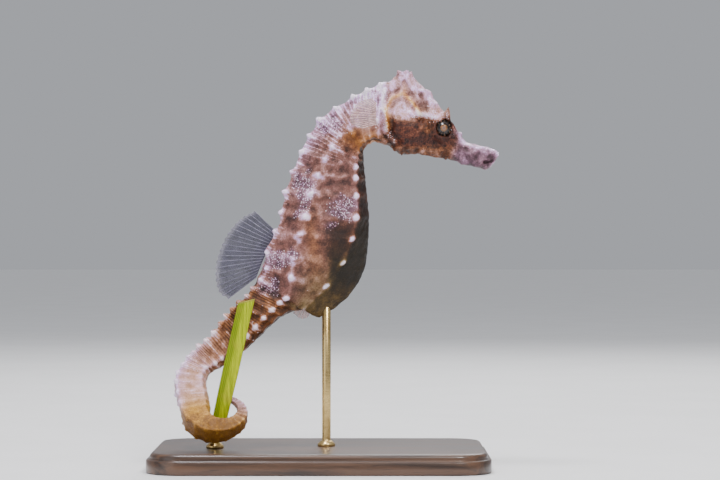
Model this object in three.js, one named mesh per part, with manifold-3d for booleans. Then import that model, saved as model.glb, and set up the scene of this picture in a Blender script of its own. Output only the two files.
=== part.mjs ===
// A lined seahorse (Hippocampus erectus), adult female, that holds a cut length of seagrass with its tail.
// Life size, in millimetres. +Z is up, the head faces +X and the animal's right flank faces -Y.
// The origin is the centre of the underside of the display stand.
//
// The body is one loft. Its length is measured in rings: 0 is the shoulder ring, 1 to 13 are the rings
// of the trunk, 14 to 47 those of the tail, and negative numbers run forward through the head to the lips.
// Round a section, the place is measured in ridges: 0 is the middle of the back, 1 the upper ridge,
// 2 the side ridge, 3 the lower ridge and 4 the middle of the belly.
import * as THREE from "three";
import { mergeVertices } from "three/addons/utils/BufferGeometryUtils.js";
import Module from "manifold-3d";

const wasm = await Module();
wasm.setup();

// ---------- driving dimensions ----------

const cutGap = 0.3; // clear width between two neighbouring solids
const lipsAt = -14.6; // the front end of the loft
const tailTipAt = 47.6; // the rear end of the loft

// Outline of the head and trunk in the plane of symmetry: [ring, back X, back Z, belly X, belly Z].
const headOutline = [
  [lipsAt, 44.83, 78, 43.38, 75.62],
  [-14, 44.12, 78.88, 42.25, 74.5],
  [-13, 42.75, 79.5, 40.75, 74.25],
  [-11, 38.75, 80.38, 37, 75.25],
  [-10, 36.25, 81.25, 35.25, 75.62],
  [-9, 35, 83, 34, 76.12],
  [-7, 31.75, 87.5, 30.38, 77],
  [-5, 27.5, 93.12, 26.5, 77.62],
  [-4, 25.25, 95.25, 24.5, 77.88],
  [-2, 20, 95.88, 20, 78.12],
  [-1, 17.25, 96, 17.25, 79.88],
];
const trunkOutline = [
  [0, 15, 95.25, 14.25, 80.88],
  [1, 11.75, 93.62, 12.5, 80.5],
  [2, 8.5, 91.88, 11.5, 79.88],
  [3, 4.25, 89.25, 11, 79],
  [4, 0.5, 86.38, 10.88, 77.62],
  [5, -2.12, 82.5, 10.95, 76.12],
  [6, -4.38, 78.38, 11.05, 74.38],
  [7, -6.25, 73.62, 11.25, 72],
  [8, -7.88, 69, 11.75, 68],
  [9, -9.12, 64.12, 12.2, 62.75],
  [10, -10.25, 59.75, 12.08, 57.5],
  [11, -13.25, 55, 11.62, 52],
  [11.7, -14.38, 51.25, 10.25, 47.12],
  [12.3, -15, 49.25, 6.75, 42],
  [12.7, -15.38, 48.25, 3.25, 39.12],
  [13, -15.75, 47.25, -0.5, 37.12],
  [13.3, -16.17, 46.25, -3, 38.62],
];

// The open part of the tail: [ring, back X, back Z, belly X, belly Z, Y of both].
const tailOutline = [
  [13.6, -16.55, 45.5, -4.5, 38.92, 0],
  [14, -17.12, 44.62, -5.75, 38.88, 0],
  [15, -18.5, 42.5, -9, 37.62, 0],
  [16, -20.12, 40.88, -11.75, 35.62, 0],
  [17, -21.75, 39.2, -14.12, 33.25, 0],
  [18, -23.12, 37.55, -16.5, 31, 0],
  [19, -24.75, 35.62, -18.75, 29, 0],
  [20, -26.5, 33.62, -21, 27.38, 0],
  [21, -28.3, 31.62, -23.12, 25.88, 0],
  [22, -30.25, 29.88, -25.12, 24.5, -0.05],
  [23, -32.12, 28.17, -26.75, 23.62, -0.3],
  [24, -33.75, 26.25, -27.62, 22.88, -0.9],
  [25, -34.88, 24.12, -28.17, 21.75, -1.8],
  [26, -35.88, 22, -28.3, 20.5, -2.9],
  [27, -36.05, 19.75, -28, 19.12, -4.15],
  [28, -35.45, 17.38, -27.5, 17.5, -5.55],
  [29, -34.6, 14.8, -27, 15.6, -7.05],
];

// The coil that grips the leaf, in a plane that leans towards -Y.
const coilCentre = new THREE.Vector3(-24.55, -7.9, 13.8);
const coilLean = THREE.MathUtils.degToRad(41); // below the horizontal, seen from the side
const coilStartRing = 31;
const coilStartRadius = 5.9;
const coilEndRadius = 5.2;
const coilStartTurn = THREE.MathUtils.degToRad(158);
const coilEndTurn = THREE.MathUtils.degToRad(-96);
const coilStartHalfDepth = 3.35;
const coilEndHalfDepth = 0.45;

// Cross-sections: [ring, half width in mm, then as shares of the depth and of the half width:
// upper ridge depth and width, side ridge depth and width, lower ridge depth and width, roundness].
const sections = [
  [lipsAt, 1.2, 0.14, 0.75, 0.5, 1, 0.86, 0.75, 1],
  [-14, 2.05, 0.12, 0.75, 0.5, 1, 0.88, 0.75, 1],
  [-10, 2.15, 0.12, 0.72, 0.52, 1, 0.88, 0.72, 1],
  [-9, 2.6, 0.1, 0.7, 0.52, 1, 0.88, 0.68, 1],
  [-7, 3.5, 0.07, 0.62, 0.42, 1, 0.86, 0.66, 1],
  [-5, 4.3, 0.1, 0.5, 0.54, 1, 0.86, 0.66, 1],
  [-2, 4.9, 0.09, 0.42, 0.58, 1, 0.88, 0.66, 1],
  [-1, 4.5, 0.06, 0.46, 0.6, 1, 0.89, 0.62, 0.9],
  [0, 4.4, 0.03, 0.5, 0.62, 1, 0.9, 0.6, 0.8],
  [3, 4.1, 0, 0.58, 0.5, 1, 0.87, 0.6, 0.75],
  [5, 4.5, 0, 0.6, 0.42, 1, 0.86, 0.62, 0.75],
  [7, 5.3, 0, 0.58, 0.36, 1, 0.86, 0.64, 0.75],
  [9, 6.1, 0, 0.56, 0.28, 1, 0.85, 0.66, 0.75],
  [11, 6.4, 0.03, 0.54, 0.29, 1, 0.79, 0.64, 0.75],
  [12.3, 6, 0.08, 0.56, 0.36, 1, 0.72, 0.56, 0.7],
  [13, 5.4, 0.08, 0.6, 0.5, 1, 0.76, 0.5, 0.65],
  [14, 4.7, 0.07, 0.68, 0.63, 1, 0.9, 0.56, 0.6],
  [16, 4.3, 0.05, 0.82, 0.72, 1, 0.95, 0.58, 0.55],
  [18, 4, 0.05, 0.88, 0.74, 1, 0.96, 0.58, 0.5],
  [23, 3.6, 0.06, 0.9, 0.78, 1, 0.97, 0.58, 0.5],
  [28, 3.5, 0.07, 0.9, 0.84, 0.98, 0.97, 0.56, 0.5],
  [coilStartRing, 3.05, 0.08, 0.9, 0.86, 0.96, 0.97, 0.57, 0.55],
  [36, 2, 0.08, 0.88, 0.86, 0.96, 0.97, 0.58, 0.6],
  [41, 1.15, 0.1, 0.84, 0.86, 0.94, 0.97, 0.6, 0.8],
  [tailTipAt, 0.45, 0.12, 0.75, 0.86, 0.85, 0.96, 0.6, 1],
];
const backHollow = 0.02; // how far the middle of the back lies below the upper ridges, as a share

// Rings and the knobs where they cross the ridges.
const ringRise = 0.18;
const ringSpread = 0.5; // of a ring, from its crest to the groove
const knobSpread = 0.3;
const tallRings = [1, 2, 4, 8, 10, 14, 18, 22]; // their upper knobs are longer
const tallKnob = 1.7;

// Heights of the knobs, and how far the middle of the flank lags behind the back along a ring:
// [ring, upper knob, side knob, lower knob, lag in rings].
const ringDetail = [
  [-1, 0, 0, 0, 0],
  [0, 0.35, 0.4, 0.2, 0],
  [3, 0.6, 0.45, 0.3, 0.1],
  [6, 0.65, 0.5, 0.5, 0.1],
  [9, 0.65, 0.5, 0.6, 0.3],
  [11, 0.6, 0.5, 0.6, 0.4],
  [13, 0.5, 0.6, 0.3, 0],
  [15, 0.7, 0.65, 0.1, 0],
  [20, 0.8, 0.55, 0, 0],
  [24, 0.6, 0.3, 0, 0],
  [28, 0.45, 0.1, 0, 0],
  [34, 0.25, 0.05, 0, 0],
  [40, 0.12, 0.03, 0, 0],
  [tailTipAt, 0, 0, 0, 0],
];

// ---------- smooth interpolation ----------

// A row of numbers at the given place, from a table whose rows start with their own place.
function along(table, place) {
  let i = 0;
  while (i < table.length - 2 && place > table[i + 1][0]) i++;
  const [a, b] = [table[i], table[i + 1]];
  const span = b[0] - a[0];
  const u = THREE.MathUtils.clamp((place - a[0]) / span, 0, 1);
  const before = table[i - 1] || a;
  const after = table[i + 2] || b;
  return a.slice(1).map((value, k) => {
    const end = b[k + 1];
    const slopeA = ((end - before[k + 1]) / (b[0] - before[0])) * span;
    const slopeB = ((after[k + 1] - value) / (after[0] - a[0])) * span;
    return (
      value * (2 * u ** 3 - 3 * u ** 2 + 1) +
      slopeA * (u ** 3 - 2 * u ** 2 + u) +
      end * (3 * u ** 2 - 2 * u ** 3) +
      slopeB * (u ** 3 - u ** 2)
    );
  });
}

// ---------- the line of the body ----------

// Back and belly points of the coil, as rows of [ring, back X, Y, Z, belly X, Y, Z].
function coilRibs() {
  const rows = [];
  const steps = 10;
  for (let i = 0; i <= steps; i++) {
    const share = i / steps;
    const turn = THREE.MathUtils.lerp(coilStartTurn, coilEndTurn, share ** 0.8);
    const radius = THREE.MathUtils.lerp(coilStartRadius, coilEndRadius, share);
    const halfDepth = THREE.MathUtils.lerp(coilEndHalfDepth, coilStartHalfDepth, (1 - share) ** 1.5);
    const point = (reach) => [
      coilCentre.x + reach * Math.cos(turn),
      coilCentre.y - reach * Math.sin(turn) * Math.cos(coilLean),
      coilCentre.z - reach * Math.sin(turn) * Math.sin(coilLean),
    ];
    const ring = THREE.MathUtils.lerp(coilStartRing, tailTipAt, share);
    rows.push([ring, ...point(radius + halfDepth), ...point(radius - halfDepth)]);
  }
  return rows;
}

// Back and belly points of the whole body, from the lips to the tip of the tail.
const ribs = [
  ...[...headOutline, ...trunkOutline, ...tailOutline].map(
    ([ring, backX, backZ, bellyX, bellyZ, y = 0]) => [ring, backX, y, backZ, bellyX, y, bellyZ],
  ),
  ...coilRibs(),
];

// Middle, upward and sideways directions and depth of the section at a ring.
function frameAt(ring) {
  const rib = along(ribs, ring);
  const back = new THREE.Vector3(...rib.slice(0, 3));
  const belly = new THREE.Vector3(...rib.slice(3, 6));
  const middleAt = (place) => {
    const r = along(ribs, place);
    return new THREE.Vector3(r[0] + r[3], r[1] + r[4], r[2] + r[5]).multiplyScalar(0.5);
  };
  const heading = middleAt(ring + 0.05).sub(middleAt(ring - 0.05));
  const up = back.clone().sub(belly);
  const depth = up.length();
  up.normalize();
  const side = new THREE.Vector3().crossVectors(up, heading).normalize();
  return { back, up, side, depth };
}

// ---------- the shape of a section ----------

// Depth below the back and width at a place between two ridges, in millimetres.
function sectionAt(ring, ridge, depth) {
  const [half, upperD, upperW, sideD, sideW, lowerD, lowerW, roundness] = along(sections, ring);
  const corners = [
    [backHollow, 0],
    [upperD, upperW],
    [sideD, sideW],
    [lowerD, lowerW],
    [1, 0],
  ];
  const corner = (k) => {
    if (k < 0) return [corners[-k][0], -corners[-k][1]];
    if (k > 4) return [corners[8 - k][0], -corners[8 - k][1]];
    return corners[k];
  };
  const k = Math.min(3, Math.floor(ridge));
  const u = ridge - k;
  const [p0, p1, p2, p3] = [corner(k - 1), corner(k), corner(k + 1), corner(k + 2)];
  const mix = (axis) => {
    const slopeA = ((p2[axis] - p0[axis]) / 2) * roundness;
    const slopeB = ((p3[axis] - p1[axis]) / 2) * roundness;
    return (
      p1[axis] * (2 * u ** 3 - 3 * u ** 2 + 1) +
      slopeA * (u ** 3 - 2 * u ** 2 + u) +
      p2[axis] * (3 * u ** 2 - 2 * u ** 3) +
      slopeB * (u ** 3 - u ** 2)
    );
  };
  return { below: mix(0) * depth, out: mix(1) * half };
}

// How far the bony rings and their knobs stand out of the smooth body.
function relief(ring, ridge) {
  if (ring < -0.5) return 0;
  const nearest = Math.round(ring);
  const offRing = Math.abs(ring - nearest);
  const tip = THREE.MathUtils.clamp((tailTipAt - ring) / 12, 0, 1);
  const crest = ringRise * (1 - offRing / ringSpread) * tip;
  const heights = along(ringDetail, ring);
  if (tallRings.includes(nearest)) heights[0] *= tallKnob;
  const knob = [1, 2, 3].reduce((sum, k) => {
    const near = Math.max(0, 1 - Math.abs(ridge - k) / knobSpread);
    return sum + heights[k - 1] * near * Math.max(0, 1 - offRing / knobSpread);
  }, 0);
  return crest + knob;
}

// A point on the body. The side is -1 for the right flank and 1 for the left one.
function bodyPoint(ring, ridge, flank, extra = 0) {
  const lag = along(ringDetail, ring)[3] * Math.sin((Math.PI * ridge) / 4);
  const place = ring < 0 ? ring : ring + lag;
  const { back, up, side, depth } = frameAt(place);
  const here = sectionAt(place, ridge, depth);
  const step = 0.02;
  const before = sectionAt(place, Math.max(0, ridge - step), depth);
  const after = sectionAt(place, Math.min(4, ridge + step), depth);
  const [down, wide] = [after.below - before.below, after.out - before.out];
  const length = Math.hypot(down, wide) || 1;
  const rise = relief(ring, ridge) + extra;
  const onMiddle = ridge === 0 || ridge === 4;
  const out = onMiddle ? 0 : here.out + (rise * down) / length;
  const below = here.below - (rise * wide) / length;
  return back.clone().addScaledVector(up, -below).addScaledVector(side, out * flank);
}

// ---------- solids ----------

// The places round a section where the loft has a vertex: finer where the flank is long.
const halfColumns = [0, 0.5, 1, 1.5, 2, 2.25, 2.5, 2.75, 3, 3.5, 4];
const columns = [
  ...halfColumns.map((ridge) => [ridge, 1]),
  ...halfColumns.slice(1, -1).reverse().map((ridge) => [ridge, -1]),
];

// A closed surface through rows of points, with a fan at each end.
function loftRows(rows) {
  const across = rows[0].length;
  const points = rows.flat();
  const faces = [];
  for (let i = 0; i < rows.length - 1; i++)
    for (let j = 0; j < across; j++) {
      const [a, b] = [i * across + j, i * across + ((j + 1) % across)];
      faces.push(a, b + across, b, a, a + across, b + across);
    }
  for (const [start, turned] of [[0, true], [(rows.length - 1) * across, false]]) {
    const middle = new THREE.Vector3();
    for (let j = 0; j < across; j++) middle.addScaledVector(points[start + j], 1 / across);
    const hub = points.push(middle) - 1;
    for (let j = 0; j < across; j++) {
      const [a, b] = [start + j, start + ((j + 1) % across)];
      faces.push(...(turned ? [a, b, hub] : [b, a, hub]));
    }
  }
  const places = points.flatMap((point) => point.toArray());
  const geometry = new THREE.BufferGeometry();
  geometry.setAttribute("position", new THREE.Float32BufferAttribute(places, 3));
  geometry.setIndex(faces);
  return geometry;
}

// The rings where a stretch of the body has a row: crest, groove and the foot of each knob.
function rowPlaces(from, to) {
  const marks = new Set([from, to]);
  const add = (place) => place > from + 0.08 && place < to - 0.08 && marks.add(place);
  for (let place = Math.ceil(from); place < Math.min(0, to); place++) {
    add(place);
    if (place > -14 && place < -8) add(place + 0.5);
  }
  for (let ring = Math.max(0, Math.ceil(from)); ring <= to + 1; ring++) {
    if (ring < 14) [ring - knobSpread, ring, ring + knobSpread].forEach(add);
    else [ring - 0.5, ring].forEach(add);
  }
  return [...marks].sort((a, b) => a - b);
}

function bodyLength(from, to, extra = 0) {
  const rows = rowPlaces(from, to).map((ring) =>
    columns.map(([ridge, flank]) => bodyPoint(ring, ridge, flank, extra)),
  );
  return loftRows(rows);
}

function toSolid(geometry) {
  const bare = geometry.clone();
  bare.deleteAttribute("normal");
  bare.deleteAttribute("uv");
  const merged = mergeVertices(bare, 1e-4);
  const solid = new wasm.Manifold(
    new wasm.Mesh({
      numProp: 3,
      vertProperties: new Float32Array(merged.attributes.position.array),
      triVerts: new Uint32Array(merged.index.array),
    }),
  );
  return solid;
}

function toGeometry(solid) {
  const mesh = solid.getMesh();
  const geometry = new THREE.BufferGeometry();
  geometry.setAttribute("position", new THREE.BufferAttribute(new Float32Array(mesh.vertProperties), 3));
  geometry.setIndex(new THREE.BufferAttribute(new Uint32Array(mesh.triVerts), 1));
  return geometry;
}

// A geometry less the space that the body takes between two rings, with the gap that neighbours keep.
function clearOfBody(geometry, from, to) {
  return toGeometry(toSolid(geometry).subtract(toSolid(bodyLength(from, to, cutGap))));
}

// ---------- materials ----------

const paint = (color, roughness, metalness = 0) =>
  new THREE.MeshStandardMaterial({ color, roughness, metalness });
const skin = paint(0x8a5f48, 0.45);
const paleSkin = paint(0xc9a68f, 0.5);
const eyeDark = paint(0x1c1712, 0.12);
const finClear = paint(0x9a9aa0, 0.35);
const leafGreen = paint(0x8fa800, 0.45);
const walnut = paint(0x3b2417, 0.4);
const brass = paint(0xb08d4a, 0.3, 1);

const seahorse = new THREE.Group();
function addPart(name, geometry, material, parent = seahorse) {
  const mesh = new THREE.Mesh(geometry, material);
  mesh.name = name;
  parent.add(mesh);
  return mesh;
}

// ---------- head, trunk and tail ----------

const eyeAt = new THREE.Vector3(30.8, 2.8, 84.3);
const eyeSize = new THREE.Vector3(2.2, 1.9, 2.2);

function eyeball(flank, extra = 0) {
  const ball = new THREE.SphereGeometry(1, 14, 9).toNonIndexed();
  ball.deleteAttribute("uv");
  ball.deleteAttribute("normal");
  ball.rotateX(Math.PI / 2);
  ball.scale(eyeSize.x + extra, eyeSize.y + extra, eyeSize.z + extra);
  return mergeVertices(ball, 1e-4).translate(eyeAt.x, eyeAt.y * flank, eyeAt.z);
}

// The small spines of the head: [ring and ridge of the foot, then the way to the tip: forwards,
// outwards, up, and the radius of the foot]. Those off the plane of symmetry come in pairs.
const headSpines = [
  [-6.7, 1.25, 1.1, 0.5, 2.3, 1.05], // over the eye
  [-4.9, 0, 0.7, 0, 0.9, 1.1], // crown
  [-8.6, 0, 0.5, 0, 0.45, 0.7], // root of the snout
  [-1.4, 3.3, -0.3, 0.2, -0.9, 0.7], // corner of the cheek
  [-2.2, 3.3, 0, 0.2, -0.9, 0.7], // jaw
  [-7.6, 3.6, 0, 0.1, -0.9, 0.6], // chin
];
const spineSunk = 0.6; // how deep a foot lies under the skin

function spine(foot, tip, radius) {
  const reach = new THREE.Vector3().subVectors(tip, foot);
  const cone = new THREE.CylinderGeometry(radius * 0.25, radius, reach.length(), 8, 1);
  cone.translate(0, reach.length() / 2, 0);
  const turn = new THREE.Quaternion().setFromUnitVectors(new THREE.Vector3(0, 1, 0), reach.normalize());
  return cone.applyQuaternion(turn).translate(foot.x, foot.y, foot.z);
}

// The head with its eye sockets cut and its spines joined on.
function finishedHead(geometry) {
  let solid = toSolid(geometry);
  for (const [ring, ridge, forwards, outwards, up, radius] of headSpines)
    for (const flank of ridge === 0 ? [1] : [-1, 1]) {
      const foot = bodyPoint(ring, ridge, flank);
      const reach = new THREE.Vector3(forwards, outwards * flank, up);
      const sunk = reach.clone().setLength(-spineSunk).add(foot);
      solid = solid.add(toSolid(spine(sunk, foot.clone().add(reach), radius)));
    }
  const sockets = toSolid(eyeball(-1, cutGap)).add(toSolid(eyeball(1, cutGap)));
  return toGeometry(solid.subtract(sockets));
}

// Where one named length of the body ends and the next begins, in rings.
const lengths = [
  ["snout", lipsAt, -9.5, skin],
  ["head", -9.5, -0.5, skin],
  ["neck", -0.5, 4.5, skin],
  ["trunk_upper", 4.5, 8.5, skin],
  ["trunk_lower", 8.5, 13.5, skin],
  ["tail_base", 13.5, 18.5, skin],
  ["tail_middle", 18.5, 23.5, skin],
  ["tail_hook", 23.5, 27.5, paleSkin],
  ["tail_coil", 27.5, 35.5, paleSkin],
  ["tail_tip", 35.5, tailTipAt, paleSkin],
];

// Half of the gap at a cut, in rings, so that it is nowhere narrower than asked.
function halfCut(ring) {
  const [near, far] = [along(ribs, ring - 0.1), along(ribs, ring + 0.1)];
  const step = (k) => Math.hypot(far[k] - near[k], far[k + 1] - near[k + 1], far[k + 2] - near[k + 2]);
  const travel = [step(0), step(3)];
  return (cutGap / 2 / Math.min(...travel)) * 0.2;
}

function addBody() {
  for (const [name, from, to, material] of lengths) {
    const start = from === lipsAt ? from : from + halfCut(from);
    const end = to === tailTipAt ? to : to - halfCut(to);
    const geometry = bodyLength(start, end);
    addPart(name, name === "head" ? finishedHead(geometry) : geometry, material);
  }
  addPart("eye_right", eyeball(-1), eyeDark);
  addPart("eye_left", eyeball(1), eyeDark);
}

// ---------- coronet ----------

const coronetFoot = new THREE.Vector3(21.3, 0, 94.95);
// [height above the foot, X shift, half length, half width, how deep the five points are cut]
const coronetRows = [
  [0, 0, 4.4, 2.3, 0],
  [1, 0, 3.6, 2, 0],
  [1.9, -0.1, 2.7, 1.65, 0],
  [2.8, -0.2, 2.1, 1.35, 0.1],
  [3.6, -0.2, 1.9, 1.4, 0.3],
  [3.9, -0.2, 1.4, 1.05, 0.3],
];
const coronetPoints = 5;

function addCoronet() {
  const around = 20;
  const rows = coronetRows.map(([height, shift, halfLength, halfWidth, cut]) =>
    Array.from({ length: around }, (_, j) => {
      const turn = (j / around) * 2 * Math.PI;
      const star = 1 - cut * (0.5 - 0.5 * Math.cos(coronetPoints * turn));
      return new THREE.Vector3(
        coronetFoot.x + shift + halfLength * star * Math.cos(turn),
        -halfWidth * star * Math.sin(turn),
        coronetFoot.z + height,
      );
    }),
  );
  addPart("coronet", clearOfBody(loftRows(rows), -6, 0), skin);
}

// ---------- fins ----------

const finThickness = 0.5;

// A flat fin in the XZ plane from the places of its edge, with its root inside the body.
function finPlate(edge, root) {
  const shape = new THREE.Shape();
  shape.moveTo(...root[0]);
  shape.lineTo(...edge[0]);
  shape.splineThru(edge.slice(1).map(([x, z]) => new THREE.Vector2(x, z)));
  root.slice(1).reverse().forEach(([x, z]) => shape.lineTo(x, z));
  shape.closePath();
  const plate = new THREE.ExtrudeGeometry(shape, {
    depth: finThickness, bevelEnabled: false, curveSegments: 10, steps: 1,
  });
  plate.translate(0, 0, -finThickness / 2).rotateX(Math.PI / 2);
  return plate;
}

// Free edges as [X, Z] from the front ray to the last, and the lines inside the body that the fins grow from.
const dorsalEdge = [
  [-16.4, 63.75], [-20, 61.75], [-23.4, 57.55], [-25.7, 51.95], [-26.2, 46.75], [-25.3, 43.35], [-23, 41.75],
];
const dorsalRoot = [[-11.2, 57.75], [-13.5, 52.75], [-15.5, 47.75]];
const analEdge = [[-7, 38.75], [-6.2, 37.35], [-4.2, 36.75], [-2.6, 37.35], [-2.3, 38.95]];
const analRoot = [[-6.4, 41.95], [-3.6, 42.35]];

// A side fin lies back along the neck from its root, a little away from it at the tips.
const pectoralEdge = [[-0.6, 4.6], [-4.2, 3.6], [-6.2, 1.0], [-6.4, -1.8], [-4.6, -3.0], [-0.6, -2.4]];
const pectoralRoot = [[0, 3.4], [0, -2.0]];
const pectoralAt = new THREE.Vector3(13.9, 4.5, 87.15);
const pectoralFlare = THREE.MathUtils.degToRad(12);

function addFins() {
  addPart("dorsal_fin", clearOfBody(finPlate(dorsalEdge, dorsalRoot), 8, 18), finClear);
  addPart("anal_fin", clearOfBody(finPlate(analEdge, analRoot), 10, 17), finClear);
  for (const [name, flank] of [["pectoral_fin_right", -1], ["pectoral_fin_left", 1]]) {
    const fin = finPlate(pectoralEdge, pectoralRoot);
    fin.rotateZ(-pectoralFlare * flank);
    fin.translate(pectoralAt.x, pectoralAt.y * flank, pectoralAt.z);
    addPart(name, clearOfBody(fin, -1.5, 3.5), finClear);
  }
}

// ---------- the leaf that the tail holds ----------

const leafWidth = 3.9;
const leafThickness = 0.9;
const leafFoot = new THREE.Vector3(-25.9, -5.85, 7.45);
const leafTop = new THREE.Vector3(-18.1, -5.85, 41.5);

function addLeaf() {
  const half = leafWidth / 2;
  const edge = leafThickness * 0.3;
  const shape = new THREE.Shape();
  shape.moveTo(-half, -edge / 2);
  shape.quadraticCurveTo(0, -leafThickness, half, -edge / 2);
  shape.lineTo(half, edge / 2);
  shape.quadraticCurveTo(0, leafThickness, -half, edge / 2);
  shape.closePath();
  const leaf = new THREE.ExtrudeGeometry(shape, {
    depth: leafFoot.distanceTo(leafTop), bevelEnabled: false, curveSegments: 8, steps: 1,
  });
  const lean = Math.atan2(leafTop.x - leafFoot.x, leafTop.z - leafFoot.z);
  const mesh = addPart("seagrass_leaf", leaf, leafGreen);
  mesh.position.copy(leafFoot);
  mesh.rotation.y = lean;
}

// ---------- display stand ----------

const baseLength = 84;
const baseWidth = 52;
const baseThickness = 5;
const baseCorner = 9;
const baseChamfer = 0.8;
const rodRadius = 1.1;
const collarRadius = 2.2;
const collarHeight = 1.4;
const bodyRodX = 1.6;
const bodyRodTop = 41;
const leafRodTop = leafFoot.z - 0.8;

function roundedRectangle(length, width, corner) {
  const [x, y] = [length / 2, width / 2];
  const shape = new THREE.Shape();
  shape.moveTo(-x + corner, -y);
  shape.lineTo(x - corner, -y);
  shape.absarc(x - corner, -y + corner, corner, -Math.PI / 2, 0);
  shape.absarc(x - corner, y - corner, corner, 0, Math.PI / 2);
  shape.absarc(-x + corner, y - corner, corner, Math.PI / 2, Math.PI);
  shape.absarc(-x + corner, -y + corner, corner, Math.PI, Math.PI * 1.5);
  return shape;
}

// A rod with a collar at its foot, turned about +Z, from the top of the base upwards.
function rod(height) {
  const profile = [
    [0, 0], [collarRadius, 0], [collarRadius, collarHeight * 0.7], [collarRadius * 0.85, collarHeight],
    [rodRadius, collarHeight], [rodRadius, height], [0, height],
  ];
  const lathe = new THREE.LatheGeometry(profile.map(([r, z]) => new THREE.Vector2(r, z)), 20);
  return lathe.rotateX(Math.PI / 2);
}

function addStand() {
  const [length, width] = [baseLength - 2 * baseChamfer, baseWidth - 2 * baseChamfer];
  const outline = roundedRectangle(length, width, baseCorner - baseChamfer);
  const base = new THREE.ExtrudeGeometry(outline, {
    depth: baseThickness - 2 * baseChamfer, bevelThickness: baseChamfer, bevelSize: baseChamfer,
    bevelSegments: 1, curveSegments: 8, steps: 1,
  });
  addPart("stand_base", base.translate(0, 0, baseChamfer), walnut);

  const foot = baseThickness + cutGap;
  const bodyRod = rod(bodyRodTop - foot).translate(bodyRodX, 0, foot);
  addPart("stand_rod_body", clearOfBody(bodyRod, 10, 16), brass);
  const leafRod = addPart("stand_rod_leaf", rod(leafRodTop - foot), brass);
  leafRod.position.set(leafFoot.x, leafFoot.y, foot);
}

addBody();
addCoronet();
addFins();
addLeaf();
addStand();

export default seahorse;
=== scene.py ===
import math

import bpy
import numpy as np
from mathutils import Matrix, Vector, noise


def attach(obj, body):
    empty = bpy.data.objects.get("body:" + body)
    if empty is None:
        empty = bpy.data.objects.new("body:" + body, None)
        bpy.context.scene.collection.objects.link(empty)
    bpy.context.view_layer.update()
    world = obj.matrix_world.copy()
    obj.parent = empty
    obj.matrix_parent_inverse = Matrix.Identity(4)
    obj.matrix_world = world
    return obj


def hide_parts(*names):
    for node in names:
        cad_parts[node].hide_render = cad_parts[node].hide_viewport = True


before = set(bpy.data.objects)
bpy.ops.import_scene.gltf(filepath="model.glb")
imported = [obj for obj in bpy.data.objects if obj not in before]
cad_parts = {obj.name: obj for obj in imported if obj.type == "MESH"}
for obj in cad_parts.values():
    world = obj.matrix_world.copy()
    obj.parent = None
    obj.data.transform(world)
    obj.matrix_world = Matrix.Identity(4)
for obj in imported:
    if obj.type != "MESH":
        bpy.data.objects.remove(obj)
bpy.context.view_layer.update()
mm = 0.001
print("frame loaded:", len(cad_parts), "nodes")


def add(name, data, place=(0, 0, 0)):
    thing = bpy.data.objects.new(name, data)
    thing.location = place
    bpy.context.scene.collection.objects.link(thing)
    return thing


# Nodes for shaders and for geometry
class Socket:
    # an output socket that can be used in sums
    def __init__(self, tree, link):
        self.tree, self.link = tree, link

    def join(self, operation, first, second):
        return self.tree.node("ShaderNodeMath", {"operation": operation}, {0: first, 1: second})

    def __add__(self, other):
        return self.join("ADD", self, other)

    def __radd__(self, other):
        return self.join("ADD", other, self)

    def __sub__(self, other):
        return self.join("SUBTRACT", self, other)

    def __rsub__(self, other):
        return self.join("SUBTRACT", other, self)

    def __mul__(self, other):
        return self.join("MULTIPLY", self, other)

    def __rmul__(self, other):
        return self.join("MULTIPLY", other, self)

    def __truediv__(self, other):
        return self.join("DIVIDE", self, other)


class NodeTree:
    def __init__(self, tree):
        self.tree = tree

    def node(self, kind, settings=None, inputs=None, output=0):
        made = self.tree.nodes.new(kind)
        for key, value in (settings or {}).items():
            if key == "stops":
                ramp = made.color_ramp
                while len(ramp.elements) < len(value):
                    ramp.elements.new(0.5)
                for element, (position, colour) in zip(ramp.elements, value):
                    element.position, element.color = position, (*colour, 1)
            else:
                setattr(made, key, value)
        for key, value in (inputs or {}).items():
            if isinstance(value, Socket):
                self.tree.links.new(value.link, made.inputs[key])
            else:
                made.inputs[key].default_value = value
        return Socket(self, made.outputs[output]) if len(made.outputs) else None


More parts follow.
